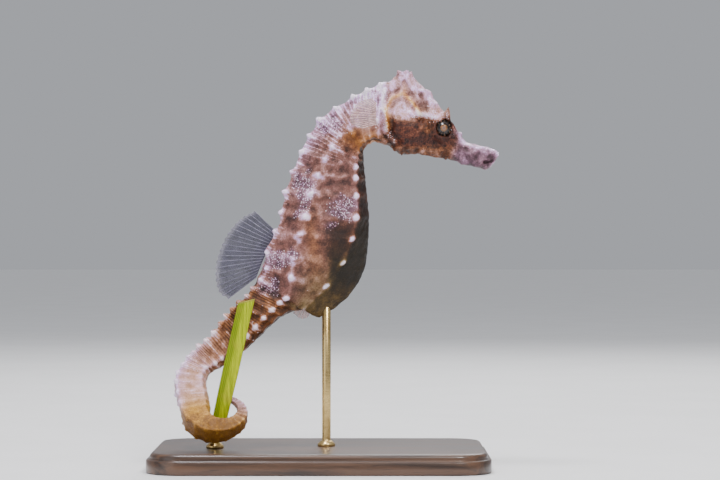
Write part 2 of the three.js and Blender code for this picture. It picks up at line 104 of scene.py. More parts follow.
class Shader(NodeTree):
    def __init__(self, name):
        self.material = bpy.data.materials.new(name)
        self.material.use_nodes = True
        super().__init__(self.material.node_tree)
        self.tree.nodes.clear()
        self.place = self.node("ShaderNodeTexCoord", output="Object")

    def attribute(self, name):
        return self.node("ShaderNodeAttribute", {"attribute_name": name}, output="Fac")

    def noise(self, size, detail=3.0, roughness=0.55, place=None, distortion=0.0):
        # size is the width of a blotch, in millimetres
        values = {"Vector": place or self.place, "Scale": 1000 / size, "Detail": detail,
                  "Roughness": roughness, "Distortion": distortion}
        return self.node("ShaderNodeTexNoise", {}, values, "Fac")

    def dots(self, size):
        # the distance from the middle of the nearest cell, 0 to about 1
        values = {"Vector": self.place, "Scale": 1000 / size}
        return self.node("ShaderNodeTexVoronoi", {}, values, "Distance")

    def wave(self, operation, value):
        return self.node("ShaderNodeMath", {"operation": operation}, {0: value})

    def stretched(self, scale, turn=(0, 0, 0)):
        return self.node("ShaderNodeMapping", {}, {"Vector": self.place, "Rotation": turn, "Scale": scale})

    def step(self, value, low, high, toLow=0.0, toHigh=1.0):
        values = {0: value, 1: low, 2: high, 3: toLow, 4: toHigh}
        return self.node("ShaderNodeMapRange", {"interpolation_type": "SMOOTHSTEP"}, values)

    def mix(self, share, first, second):
        first, second = (c if isinstance(c, Socket) else (*c, 1) for c in (first, second))
        settings = {"data_type": "RGBA", "clamp_factor": True}
        return self.node("ShaderNodeMix", settings, {0: share, 6: first, 7: second}, 2)

    def bump(self, height, distance, strength=1.0, under=None):
        values = {"Height": height, "Distance": distance * mm, "Strength": strength}
        if under:
            values["Normal"] = under
        return self.node("ShaderNodeBump", {}, values)

    def finish(self, inputs):
        surface = self.node("ShaderNodeBsdfPrincipled", {}, inputs)
        self.node("ShaderNodeOutputMaterial", {}, {0: surface})
        return self.material


class Maker(NodeTree):
    # a Geometry Nodes tree with named sizes
    def __init__(self, name, sizes):
        tree = bpy.data.node_groups.new(name, "GeometryNodeTree")
        super().__init__(tree)
        tree.interface.new_socket("Geometry", in_out="OUTPUT", socket_type="NodeSocketGeometry")
        tree.interface.new_socket("Geometry", in_out="INPUT", socket_type="NodeSocketGeometry")
        self.keys = {}
        for key, value in sizes.items():
            kind = "NodeSocketInt" if isinstance(value, int) else "NodeSocketFloat"
            self.keys[key] = tree.interface.new_socket(key, in_out="INPUT", socket_type=kind).identifier
        self.sizes = sizes
        self.group = tree.nodes.new("NodeGroupInput")

    def given(self, name):
        return Socket(self, self.group.outputs[name])

    def attribute(self, name, kind="FLOAT"):
        return self.node("GeometryNodeInputNamedAttribute", {"data_type": kind}, {"Name": name})

    def vector(self, operation, first, inputs):
        return self.node("ShaderNodeVectorMath", {"operation": operation}, {0: first, **inputs})

    def store(self, geometry, name, value, domain="POINT", kind="FLOAT_VECTOR"):
        return self.node("GeometryNodeStoreNamedAttribute", {"domain": domain, "data_type": kind},
                         {"Geometry": geometry, "Name": name, "Value": value})

    def end(self, geometry, material):
        real = self.node("GeometryNodeRealizeInstances", {}, {0: geometry})
        smooth = self.node("GeometryNodeSetShadeSmooth", {}, {0: real})
        done = self.node("GeometryNodeSetMaterial", {}, {"Geometry": smooth, "Material": material})
        self.node("NodeGroupOutput", {}, {0: done})

    def run(self, host, name):
        modifier = host.modifiers.new("make", "NODES")
        modifier.node_group = self.tree
        for key, value in self.sizes.items():
            modifier[self.keys[key]] = value
        seen = host.evaluated_get(bpy.context.evaluated_depsgraph_get())
        mesh = bpy.data.meshes.new_from_object(seen)
        host.modifiers.clear()
        bpy.data.objects.remove(host)
        mesh.name = name
        return add(name, mesh)



# Meshes
def newPiece(name, points, faces, material=None, edges=()):
    mesh = bpy.data.meshes.new(name)
    mesh.from_pydata([tuple(p) for p in np.asarray(points) * mm], list(edges), faces)
    mesh.update()
    if material:
        mesh.materials.append(material)
    mesh.polygons.foreach_set("use_smooth", [True] * len(mesh.polygons))
    return add(name, mesh)


def newTube(name, rows, material):
    # a tube through rows of points, with a hub at each end and its faces turned outwards
    count, across = rows.shape[:2]
    points = np.concatenate([rows.reshape(-1, 3), rows[:1].mean(1), rows[-1:].mean(1)])
    i, j = np.meshgrid(np.arange(count - 1), np.arange(across), indexing="ij")
    a, b = i * across + j, i * across + (j + 1) % across
    faces = np.stack([a, b, b + across, a + across], -1).reshape(-1, 4).tolist()
    first, last = count * across, count * across + 1
    for j in range(across):
        k = (j + 1) % across
        faces.append([k, j, first])
        faces.append([(count - 1) * across + j, (count - 1) * across + k, last])
    corners = np.array([(f[0], f[i], f[i + 1]) for f in faces for i in range(1, len(f) - 1)])
    a, b, c = points[corners.T]
    if np.einsum("ij,ij->i", a, np.cross(b, c)).sum() < 0:
        faces = [f[::-1] for f in faces]
    return newPiece(name, points, faces, material)


def frontAndBack(front, back):
    # rows that run along the front of a sheet and return along its back
    return np.concatenate([front, back[:, ::-1]], 1)


def setAttribute(piece, name, values, hubs=()):
    # a number for each point; the last two points of a tube are its hubs
    layer = piece.data.attributes.new(name, "FLOAT", "POINT")
    layer.data.foreach_set("value", np.concatenate([np.ravel(values), hubs]).astype(np.float32))


def smooth(value, low, high):
    t = np.clip((value - low) / (high - low), 0, 1)
    return t * t * (3 - 2 * t)


def bell(distance, width):
    return np.exp(-((distance / width) ** 2))


def curve(u, start, slopeStart, end, slopeEnd):
    return (start * (2 * u**3 - 3 * u**2 + 1) + slopeStart * (u**3 - 2 * u**2 + u)
            + end * (3 * u**2 - 2 * u**3) + slopeEnd * (u**3 - u**2))


def along(table, place):
    # a smooth row of numbers at each place, from a table whose rows start with their own place
    at, values = table[:, 0], table[:, 1:]
    place = np.asarray(place, float)
    i = np.clip(np.searchsorted(at, place) - 1, 0, len(at) - 2)
    before, after = np.maximum(i - 1, 0), np.minimum(i + 2, len(at) - 1)
    span = (at[i + 1] - at[i])[..., None]
    u = np.clip((place - at[i])[..., None] / span, 0, 1)
    slopeA = (values[i + 1] - values[before]) / (at[i + 1] - at[before])[..., None] * span
    slopeB = (values[after] - values[i]) / (at[after] - at[i])[..., None] * span
    return curve(u, values[i], slopeA, values[i + 1], slopeB)



# The line of the body. Length is counted in bony rings: 0 at the shoulder, 1 to 13 down the trunk,
# 14 to 47 down the tail, and negative through the head. Round a section, 0 is the back, 1 the upper
# ridge, 2 the side ridge, 3 the lower ridge and 4 the belly.

line = {
    "lips": -14.6,
    "tip": 47.6,
    # [ring, back X, back Z, belly X, belly Z]
    "head": [
        [-14.6, 44.83, 78, 43.38, 75.62], [-14, 44.12, 78.88, 42.25, 74.5],
        [-13, 42.75, 79.5, 40.75, 74.25], [-11, 38.75, 80.38, 37, 75.25],
        [-10, 36.25, 81.25, 35.25, 75.62], [-9, 35, 83, 34, 76.12], [-7, 31.75, 87.5, 30.38, 77],
        [-5, 27.5, 93.12, 26.5, 77.62], [-4, 25.25, 95.25, 24.5, 77.88], [-2, 20, 95.88, 20, 78.12],
        [-1, 17.25, 96, 17.25, 79.88],
    ],
    "trunk": [
        [0, 15, 95.25, 14.25, 80.88], [1, 11.75, 93.62, 12.5, 80.5], [2, 8.5, 91.88, 11.5, 79.88],
        [3, 4.25, 89.25, 11, 79], [4, 0.5, 86.38, 10.88, 77.62], [5, -2.12, 82.5, 10.95, 76.12],
        [6, -4.38, 78.38, 11.05, 74.38], [7, -6.25, 73.62, 11.25, 72], [8, -7.88, 69, 11.75, 68],
        [9, -9.12, 64.12, 12.2, 62.75], [10, -10.25, 59.75, 12.07, 57.5], [11, -13.25, 55, 11.62, 52],
        [11.7, -14.38, 51.25, 10.25, 47.12], [12.3, -15, 49.25, 6.75, 42], [12.7, -15.38, 48.25, 3.25, 39.12],
        [13, -15.75, 47.25, -0.5, 37.12], [13.3, -16.18, 46.25, -3, 38.62],
    ],
    # [ring, back X, back Z, belly X, belly Z, Y of both]
    "tail": [
        [13.6, -16.55, 45.5, -4.5, 38.92, 0], [14, -17.12, 44.62, -5.75, 38.88, 0],
        [15, -18.5, 42.5, -9, 37.62, 0], [16, -20.12, 40.88, -11.75, 35.62, 0],
        [17, -21.75, 39.2, -14.12, 33.25, 0], [18, -23.12, 37.55, -16.5, 31, 0],
        [19, -24.75, 35.62, -18.75, 29, 0], [20, -26.5, 33.62, -21, 27.38, 0],
        [21, -28.3, 31.62, -23.12, 25.88, 0], [22, -30.25, 29.88, -25.12, 24.5, -0.05],
        [23, -32.12, 28.18, -26.75, 23.62, -0.3], [24, -33.75, 26.25, -27.62, 22.88, -0.9],
        [25, -34.88, 24.12, -28.18, 21.75, -1.8], [26, -35.88, 22, -28.3, 20.5, -2.9],
        [27, -36.05, 19.75, -28, 19.12, -4.15], [28, -35.45, 17.38, -27.5, 17.5, -5.55],
        [29, -34.6, 14.8, -27, 15.6, -7.05],
    ],
    "coil": {
        "centre": (-24.55, -7.9, 13.8), "lean": 41, "startRing": 31, "startRadius": 5.9, "endRadius": 5.2,
        "startTurn": 158, "endTurn": -96, "startHalfDepth": 3.35, "endHalfDepth": 0.45, "steps": 10,
    },
    # [ring, half width, then depth and width of the upper, side and lower ridges as shares, roundness]
    "sections": [
        [-14.6, 1.2, 0.14, 0.75, 0.5, 1, 0.86, 0.75, 1], [-14, 2.05, 0.12, 0.75, 0.5, 1, 0.88, 0.75, 1],
        [-10, 2.15, 0.12, 0.72, 0.52, 1, 0.88, 0.72, 1], [-9, 2.6, 0.1, 0.7, 0.52, 1, 0.88, 0.68, 1],
        [-7, 3.5, 0.07, 0.62, 0.42, 1, 0.86, 0.66, 1], [-5, 4.3, 0.1, 0.5, 0.54, 1, 0.86, 0.66, 1],
        [-2, 4.9, 0.09, 0.42, 0.58, 1, 0.88, 0.66, 1], [-1, 4.5, 0.06, 0.46, 0.6, 1, 0.89, 0.62, 0.9],
        [0, 4.4, 0.03, 0.5, 0.62, 1, 0.9, 0.6, 0.8], [3, 4.1, 0, 0.58, 0.5, 1, 0.87, 0.6, 0.75],
        [5, 4.5, 0, 0.6, 0.42, 1, 0.86, 0.62, 0.75], [7, 5.3, 0, 0.58, 0.36, 1, 0.86, 0.64, 0.75],
        [9, 6.1, 0, 0.56, 0.28, 1, 0.85, 0.66, 0.75], [11, 6.4, 0.03, 0.54, 0.29, 1, 0.79, 0.64, 0.75],
        [12.3, 6, 0.08, 0.56, 0.36, 1, 0.72, 0.56, 0.7], [13, 5.4, 0.08, 0.6, 0.5, 1, 0.76, 0.5, 0.65],
        [14, 4.7, 0.07, 0.68, 0.63, 1, 0.9, 0.56, 0.6], [16, 4.3, 0.05, 0.82, 0.72, 1, 0.95, 0.58, 0.55],
        [18, 4, 0.05, 0.88, 0.74, 1, 0.96, 0.58, 0.5], [23, 3.6, 0.06, 0.9, 0.78, 1, 0.97, 0.58, 0.5],
        [28, 3.5, 0.07, 0.9, 0.84, 0.98, 0.97, 0.56, 0.5],
        [31, 3.05, 0.08, 0.9, 0.86, 0.96, 0.97, 0.57, 0.55], [36, 2, 0.08, 0.88, 0.86, 0.96, 0.97, 0.58, 0.6],
        [41, 1.15, 0.1, 0.84, 0.86, 0.94, 0.97, 0.6, 0.8], [47.6, 0.45, 0.12, 0.75, 0.86, 0.85, 0.96, 0.6, 1],
    ],
    "backHollow": 0.02,
    # [ring, upper knob, side knob, lower knob, knob radius, lag of the flank in rings]
    "knobs": [
        [-1, 0, 0, 0, 0.8, 0], [0, 0.35, 0.12, 0.05, 0.8, 0], [1.6, 0.5, 0.06, 0.1, 0.8, 0.05],
        [3, 0.6, 0.5, 0.15, 0.8, 0.1],
        [6, 0.65, 0.55, 0.5, 0.85, 0.1], [9, 0.65, 0.6, 0.65, 0.95, 0.3], [11, 0.6, 0.6, 0.65, 0.9, 0.4],
        [13, 0.5, 0.65, 0.35, 0.85, 0], [15, 0.75, 0.75, 0.12, 0.85, 0], [20, 0.8, 0.6, 0.05, 0.85, 0],
        [24, 0.55, 0.3, 0, 0.75, 0], [28, 0.42, 0.1, 0, 0.65, 0], [32, 0.3, 0.05, 0, 0.55, 0],
        [36, 0.2, 0.03, 0, 0.42, 0], [42, 0.12, 0.03, 0, 0.3, 0],
        [47.6, 0, 0, 0, 0.2, 0],
    ],
    "tallRings": [1, 2, 4, 8, 10, 14, 18, 22],
    "tallKnob": 1.5,
}


def ribTable():
    # back and belly points of the whole body, from the lips to the tip of the tail
    flat = [[r, bx, 0, bz, vx, 0, vz] for r, bx, bz, vx, vz in line["head"] + line["trunk"]]
    flat += [[r, bx, y, bz, vx, y, vz] for r, bx, bz, vx, vz, y in line["tail"]]
    coil = line["coil"]
    share = np.linspace(0, 1, coil["steps"] + 1)
    turn = np.radians(coil["startTurn"] + (coil["endTurn"] - coil["startTurn"]) * share**0.8)
    radius = coil["startRadius"] + (coil["endRadius"] - coil["startRadius"]) * share
    half = coil["endHalfDepth"] + (coil["startHalfDepth"] - coil["endHalfDepth"]) * (1 - share) ** 1.5
    lean = math.radians(coil["lean"])
    rings = coil["startRing"] + (line["tip"] - coil["startRing"]) * share

    def at(reach):
        ahead = reach * np.sin(turn)
        x, y, z = coil["centre"]
        return np.stack([x + reach * np.cos(turn), y - ahead * math.cos(lean), z - ahead * math.sin(lean)], 1)

    wound = np.concatenate([rings[:, None], at(radius + half), at(radius - half)], 1)
    return np.concatenate([np.array(flat, float), wound])


ribs = ribTable()
sections = np.array(line["sections"], float)
knobs = np.array(line["knobs"], float)


def unit(v):
    return v / np.maximum(np.linalg.norm(v, axis=-1, keepdims=True), 1e-9)


def bodySurface(rings, ridges, flanks):
    # points of the smooth body, for rings down the rows and ridges across the columns
    lag = np.where(rings < 0, 0, along(knobs, rings)[..., 4]) * np.sin(math.pi * ridges / 4)
    place = rings + lag
    rib = along(ribs, place)
    back, belly = rib[..., :3], rib[..., 3:]
    ahead, behind = along(ribs, place + 0.05), along(ribs, place - 0.05)
    heading = ahead[..., :3] + ahead[..., 3:] - behind[..., :3] - behind[..., 3:]
    depth = np.linalg.norm(back - belly, axis=-1)
    up = unit(back - belly)
    side = unit(np.cross(heading, up))
    half, upperD, upperW, sideD, sideW, lowerD, lowerW, roundness = np.moveaxis(along(sections, place), -1, 0)
    nought, one = np.zeros_like(half), np.ones_like(half)
    down = [nought + line["backHollow"], upperD, sideD, lowerD, one]
    wide = [nought, upperW, sideW, lowerW, nought]
    down = [down[1]] + down + [down[3]]
    wide = [-wide[1]] + wide + [-wide[3]]
    k = np.minimum(3, np.floor(ridges)).astype(int)
    u = ridges - k
    k = np.broadcast_to(k, half.shape)

    def between(corners):
        c = np.stack(corners, -1)
        p = [np.take_along_axis(c, (k + n)[..., None], -1)[..., 0] for n in range(4)]
        return curve(u, p[1], (p[2] - p[0]) / 2 * roundness, p[2], (p[3] - p[1]) / 2 * roundness)

    below, out = between(down) * depth, between(wide) * half
    return back - up * below[..., None] + side * (out * flanks)[..., None]



# The skin
skin = {
    "columns": 144,
    # [from ring, to ring, rows]
    "rows": [(-14.6, -10, 46), (-10, -0.6, 156), (-0.6, 13.6, 203), (13.6, 30, 148), (30, 47.6, 96)],
    "ringRise": 0.3,
    "ringWidth": 0.14,  # as a share of the way to the next ring
    "ridgeRise": 0.26,
    "ridgeWidth": 0.45,
    "plateHollow": 0.3,
    "lineRise": 0.05,
    "linesPerRing": 4,
    "tailFade": 21,  # the relief dies away over so many rings at the end of the tail
    "knobVariation": (0.7, 1.25),
    "wrinkle": 0.13,
    "pimple": 0.07,
    "seed": 7,
    # the skin laid flat in strips: [from ring, to ring, left, low, width, height] on the map
    "flat": [
        (-14.6, -0.6, 0.01, 0.6, 0.42, 0.39), (-0.6, 13.6, 0.01, 0.01, 0.98, 0.57),
        (13.6, 30, 0.45, 0.73, 0.54, 0.26), (30, 47.6, 0.45, 0.6, 0.54, 0.11),
    ],
    # patches of warts with painted glints on both flanks: [X, Z, half width, half height]
    "glints": [
        (-3.6, 69.6, 3.4, 3.2), (6.4, 64.2, 3.2, 3.0), (2.9, 59.8, 2.4, 1.4), (-10.2, 52.2, 4.4, 2.6),
        (12.4, 90.0, 2.6, 5.4), (2.6, 85.0, 4.0, 2.6), (-13.0, 44.6, 2.4, 2.6), (-4.4, 63.2, 1.8, 1.6),
    ],
}

# Places on the side of the head are [X, Z] and are worn by both cheeks.
head = {
    "eye": (30.8, 84.3),
    # [distance from the middle of the eye, reach from the middle of the head] of the orbit and the lid
    "lid": [(0, 2.1), (1.7, 2.5), (1.95, 3.95), (2.15, 4.3), (2.5, 4.35), (3.3, 3.95), (4.3, 3.5)],
    "nostril": (34.1, 82.1),
    "mouth": [(41.0, 75.8), (42.6, 76.0), (44.2, 76.7)],
    "lips": [(0.25, 1.4), (0.5, 0.9), (0.8, 0.0)],  # [share of the opening, depth]
    "hollow": (28.3, 80.9),
    # [rise, half width, path] of the folds of the brow and snout
    "folds": [
        (-0.7, 0.75, [(24.9, 92.6), (26.4, 90.2), (27.0, 88.9)]), (-0.5, 0.5, [(20.9, 94.6), (21.2, 92.9)]),
        (0.4, 0.6, [(23.2, 95.4), (26.4, 91.8), (28.6, 90.6)]), (0.3, 0.5, [(35.5, 80.4), (43.0, 77.9)]),
    ],
    # [rise, half width, how far ahead its furrow lies, depth and half width of the furrow] of each rim
    "rims": {"arch": (0.6, 0.55, 1.2, 0.45, 0.4), "gillEdge": (0.6, 0.45, 1.0, 0.4, 0.4)},
    "arch": [(16.9, 84.3), (16.5, 89.0), (17.9, 92.0), (20.8, 92.9), (23.3, 90.6), (25.0, 87.4)],
    "gillEdge": [(16.2, 93.4), (15.6, 90.2), (16.1, 85.4), (17.4, 82.7), (18.8, 80.6)],
    "brow": [(22.3, 87.4), (25.6, 87.6), (29.4, 87.0)],
    "jaw": [(18.9, 79.3), (25, 78.7), (33, 78.2)],
    "gillPlate": (20.4, 88.4, 3.3, 3.9),
    "cheekDome": (22.8, 83.4, 4.6, 3.2),
    "coronet": (21.3, 95.4),
    "coronetFoot": (4.7, 2.6),
    # share of the foot, reach forwards, reach sideways, rise
    "coronetShape": [
        (0, 0, 0, 2.5), (0.13, 0.2, 0.27, 2.6), (0.2, 0.32, 0.44, 2.95), (0.28, 0.39, 0.54, 3.1),
        (0.36, 0.42, 0.53, 2.6), (0.46, 0.47, 0.54, 2.0), (0.6, 0.6, 0.64, 1.3), (0.8, 0.78, 0.82, 0.5),
        (1, 1, 1, 0),
    ],
    # [X, Z, least Y, foot radius, forwards, outwards, up, sharpness]
    "spines": [
        (31.3, 86.9, 1.5, 1.3, 0.7, 0.3, 2.8, 1.15), (27.4, 93.2, 0, 1.6, 0.8, 0, 0.75, 1.2),
        (34.9, 83.0, 0, 1.0, 0.6, 0, 0.45, 1.0), (18.4, 79.0, 1.5, 1.0, -0.4, 0.2, -1.1, 1.2),
        (20.4, 78.5, 1.5, 0.9, 0, 0.2, -0.9, 1.2), (31.4, 77.4, 0.5, 0.7, 0, 0.1, -0.9, 1.2),
        (35.5, 76.0, 0, 0.6, 0, 0, -0.8, 1.2), (15.3, 95.4, 0, 1.5, -0.2, 0, 0.85, 1.0),
        (24.0, 88.2, 3, 0.8, 0, 0.5, 0.3, 1.3), (27.0, 88.2, 3, 0.7, 0, 0.4, 0.4, 1.3),
        (33.4, 85.6, 1, 0.8, 0.3, 0.3, 0.3, 1.2), (24.9, 91.2, 1.6, 0.9, 0, 0.45, 0.2, 1.2),
    ],
}


def skinGrid():
    stretches = [np.linspace(a, b, n, endpoint=False) for a, b, n in skin["rows"]]
    rings = np.concatenate(stretches + [[line["tip"]]])[:, None]
    half = skin["columns"] // 2
    ridges = np.linspace(0, 4, half + 1)
    ridges = np.concatenate([ridges, ridges[-2:0:-1]])[None, :]
    flanks = np.where(np.arange(skin["columns"]) <= half, -1.0, 1.0)[None, :]
    return rings, ridges, flanks


def surfaceNormals(points):
    down = np.gradient(points, axis=0)
    across = (np.roll(points, -1, 1) - np.roll(points, 1, 1)) / 2
    normal = unit(np.cross(across, down))
    if (normal * (points - points.mean(1, keepdims=True))).sum(-1).mean() < 0:
        normal = -normal
    return normal


def grain(points, size, seed):
    # soft noise from about -1 to 1, with lumps of the given size in millimetres
    shift = Vector((seed * 7.3, seed * 3.1, seed * 5.7))
    flat = points.reshape(-1, 3) * (0.5 / size)
    return np.array([noise.noise(Vector(p) + shift) for p in flat]).reshape(points.shape[:-1]) * 1.6


def nearPath(x, z, path):
    # distance from a bent line, seen from the side
    nearest = np.full_like(x, 99.0)
    for (ax, az), (bx, bz) in zip(path, path[1:]):
        t = np.clip(((x - ax) * (bx - ax) + (z - az) * (bz - az)) / ((bx - ax) ** 2 + (bz - az) ** 2), 0, 1)
        nearest = np.minimum(nearest, np.hypot(x - ax - t * (bx - ax), z - az - t * (bz - az)))
    return nearest


def apart(x, z, place):
    return np.hypot(x - place[0], z - place[1])


def inOval(x, z, oval):
    # 0 at the middle of an oval and 1 on its edge
    return np.hypot((x - oval[0]) / oval[2], (z - oval[1]) / oval[3])


def shapeHead(points, rings, lumps):
    x, y, z = points[..., 0].copy(), points[..., 1].copy(), points[..., 2].copy()
    wide, sign = np.abs(y), np.sign(y)
    onHead = smooth(rings, 0.6, -0.6) * np.ones_like(x)
    wx, wz = x + 0.6 * lumps[0], z + 0.6 * lumps[1]

    paths = {key: nearPath(wx, wz, head[key]) for key in ("arch", "gillEdge", "brow", "jaw")}
    lift = 0
    for key, (rise, width, beside, depth, furrow) in head["rims"].items():
        lift = lift + (rise * bell(paths[key], width) - depth * bell(paths[key] - beside, furrow))
    lift += 0.8 * bell(paths["brow"], 0.65) * (1 + 1.2 * lumps[2])
    lift += 0.45 * bell(paths["jaw"], 0.5) * (1 + lumps[2])
    inPlate = inOval(x, z, head["gillPlate"])
    spokes = np.cos(34 * np.arctan2(z - head["gillPlate"][1] + 4, x - head["gillPlate"][0] - 4.5))
    lift += smooth(inPlate, 1.1, 0.5) * (0.4 + 0.09 * spokes)
    lift += 0.35 * smooth(inOval(x, z, head["cheekDome"]), 1.2, 0.4)
    lift -= 0.5 * bell(apart(x, z, head["hollow"]), 1.9)
    for rise, width, path in head["folds"]:
        lift += rise * bell(nearPath(wx, wz, path), width)
    lift *= onHead * smooth(wide, 0.8, 2.2)
    wide = wide + lift

    # orbit and lid
    reach = apart(x, z, head["eye"]) * (1 + 0.09 * lumps[3])
    lid = np.interp(reach, *zip(*head["lid"]))
    hold = smooth(reach, 4.2, 2.5) * smooth(wide, 0.3, 1.6) * onHead
    wide = wide + (lid - wide) * hold

    # nostrils and the cleft of the mouth
    wide -= 0.4 * bell(apart(x, z, head["nostril"]), 0.28) * smooth(wide, 0.5, 1.2) * onHead
    cleft = nearPath(x, z, head["mouth"])
    wide -= 0.5 * bell(cleft, 0.22) * smooth(wide, 0.4, 1.0) * onHead
    y = wide * sign

    # coronet
    cx, cz = head["coronet"]
    a, b = head["coronetFoot"]
    top = onHead * smooth(z, cz - 3.2, cz - 1.8)
    q = np.hypot((x - cx) / a, y / b)
    turn = np.arctan2(y / b, (x - cx) / a)
    share, ahead, aside, rise = np.array(head["coronetShape"]).T
    rim = bell(q - 0.27, 0.09)
    fivefold = 0.5 + 0.5 * np.cos(5 * turn)
    spread = 1 + 0.22 * rim * (fivefold - 0.4)
    lifted = np.interp(q, share, rise) + 0.4 * rim * (fivefold - 0.45) + 0.25 * lumps[2] * smooth(q, 1, 0.6)
    held = top * (q < 1)
    forwards = cx + a * np.interp(q, share, ahead) * spread * np.cos(turn)
    x = x + (forwards - 0.25 * smooth(q, 0.8, 0.3) - x) * held
    y = y + (b * np.interp(q, share, aside) * spread * np.sin(turn) - y) * held
    z = z + lifted * held

    for sx, sz, least, radius, forwards, out, up, sharpness in head["spines"]:
        near = np.hypot(points[..., 0] - sx, points[..., 2] - sz)
        near = near if least else np.hypot(near, points[..., 1])
        away = smooth(np.abs(points[..., 1]), least * 0.6, least) if least else 1
        push = np.clip(1 - near / radius, 0, 1) ** sharpness * away * (rings < 0.5)
        x, y, z = x + forwards * push, y + out * push * sign, z + up * push
    marks = {"arch": (paths["arch"], 0.75), "edge": (paths["gillEdge"], 0.6), "brow": (paths["brow"], 0.9),
             "cleft": (cleft, 0.3), "orbit": (reach - 2.2, 0.45)}
    marks = {key: bell(distance, width) * onHead for key, (distance, width) in marks.items()}
    return np.stack([x, y, z], -1), {"lift": lift, "reach": reach, "onHead": onHead, **marks}


def ringRelief(points, rings, ridges, lumps):
    rowMm = np.linalg.norm(np.gradient(points, axis=0), axis=-1) / np.gradient(rings[:, 0])[:, None]
    columnMm = np.linalg.norm((np.roll(points, -1, 1) - np.roll(points, 1, 1)) / 2, axis=-1)
    columnMm /= 4 / (skin["columns"] / 2)
    warped = rings + 0.06 * lumps[1]
    nearest = np.maximum(0, np.round(rings))
    off = warped - nearest
    chance = np.random.default_rng(skin["seed"])
    detail = along(knobs, rings)
    onRings = smooth(rings, -0.45, -0.1)
    tailEnd = np.clip((line["tip"] - rings) / skin["tailFade"], 0, 1)
    flank = 0.3 + 0.7 * smooth(ridges, 3.9, 2.9)
    lower = 1 - 0.75 * smooth(rings, 8.5, 11) * smooth(rings, 14, 13) * smooth(ridges, 2.2, 2.8)
    crest = bell(off, skin["ringWidth"]) * onRings * flank * lower * (0.75 + 0.5 * lumps[2])
    calm = 1 - 0.45 * smooth(rings, 21, 26) - 0.25 * smooth(rings, 30, 34)
    height = skin["ringRise"] * crest * (0.3 + 0.7 * tailEnd) * calm
    knobMask, ridgeMask = np.zeros_like(points[..., 0]), np.zeros_like(points[..., 0])
    for k in (1, 2, 3):
        vary = chance.uniform(*skin["knobVariation"], 60)[nearest.astype(int)]
        vary = np.where(np.isin(nearest, line["tallRings"]), line["tallKnob"], vary) if k == 1 else vary
        vary = np.where((k == 2) & (nearest > 10) & (nearest < 22), 1.2, vary)
        distance = np.hypot(off * rowMm, (ridges - k) * columnMm) / detail[..., 3]
        distance = distance * (1 + 0.35 * lumps[3])
        peak = detail[..., k - 1] * vary * onRings
        height = height + peak * (0.3 * bell(distance, 1.3) + 0.7 * smooth(distance, 1.15, 0.2))
        between = bell((ridges - k) * columnMm, skin["ridgeWidth"]) * smooth(peak, 0.0, 0.3)
        height = height + skin["ridgeRise"] * between * (0.3 + 0.7 * bell(off, 0.35)) * tailEnd * calm
        ridgeMask = np.maximum(ridgeMask, between)
        knobMask = np.maximum(knobMask, bell(distance, 1.1) * smooth(peak, 0.05, 0.45))
    hollow = np.sin(math.pi * ridges) ** 2 * np.sin(math.pi * off) ** 2 * onRings * lower
    height = height - skin["plateHollow"] * hollow * (0.25 + 0.75 * tailEnd) * calm
    stripes = 0.5 + 0.5 * np.cos(2 * math.pi * skin["linesPerRing"] * warped)
    onFlank = smooth(ridges, 0.1, 0.5) * smooth(ridges, 3.0, 2.2) * onRings * lower
    height = height + skin["lineRise"] * (stripes - 0.5) * onFlank * (0.4 + 0.6 * tailEnd)
    stripes = stripes * onFlank * (1 - smooth(rings, 5, 3) * smooth(ridges, 1.8, 2.2))
    return height, {"crest": crest, "knob": knobMask, "ridgeLine": ridgeMask, "hollow": hollow,
                    "stripe": stripes, "off": off}


def total(*shares):
    return sum(amount * mask for amount, mask in shares)


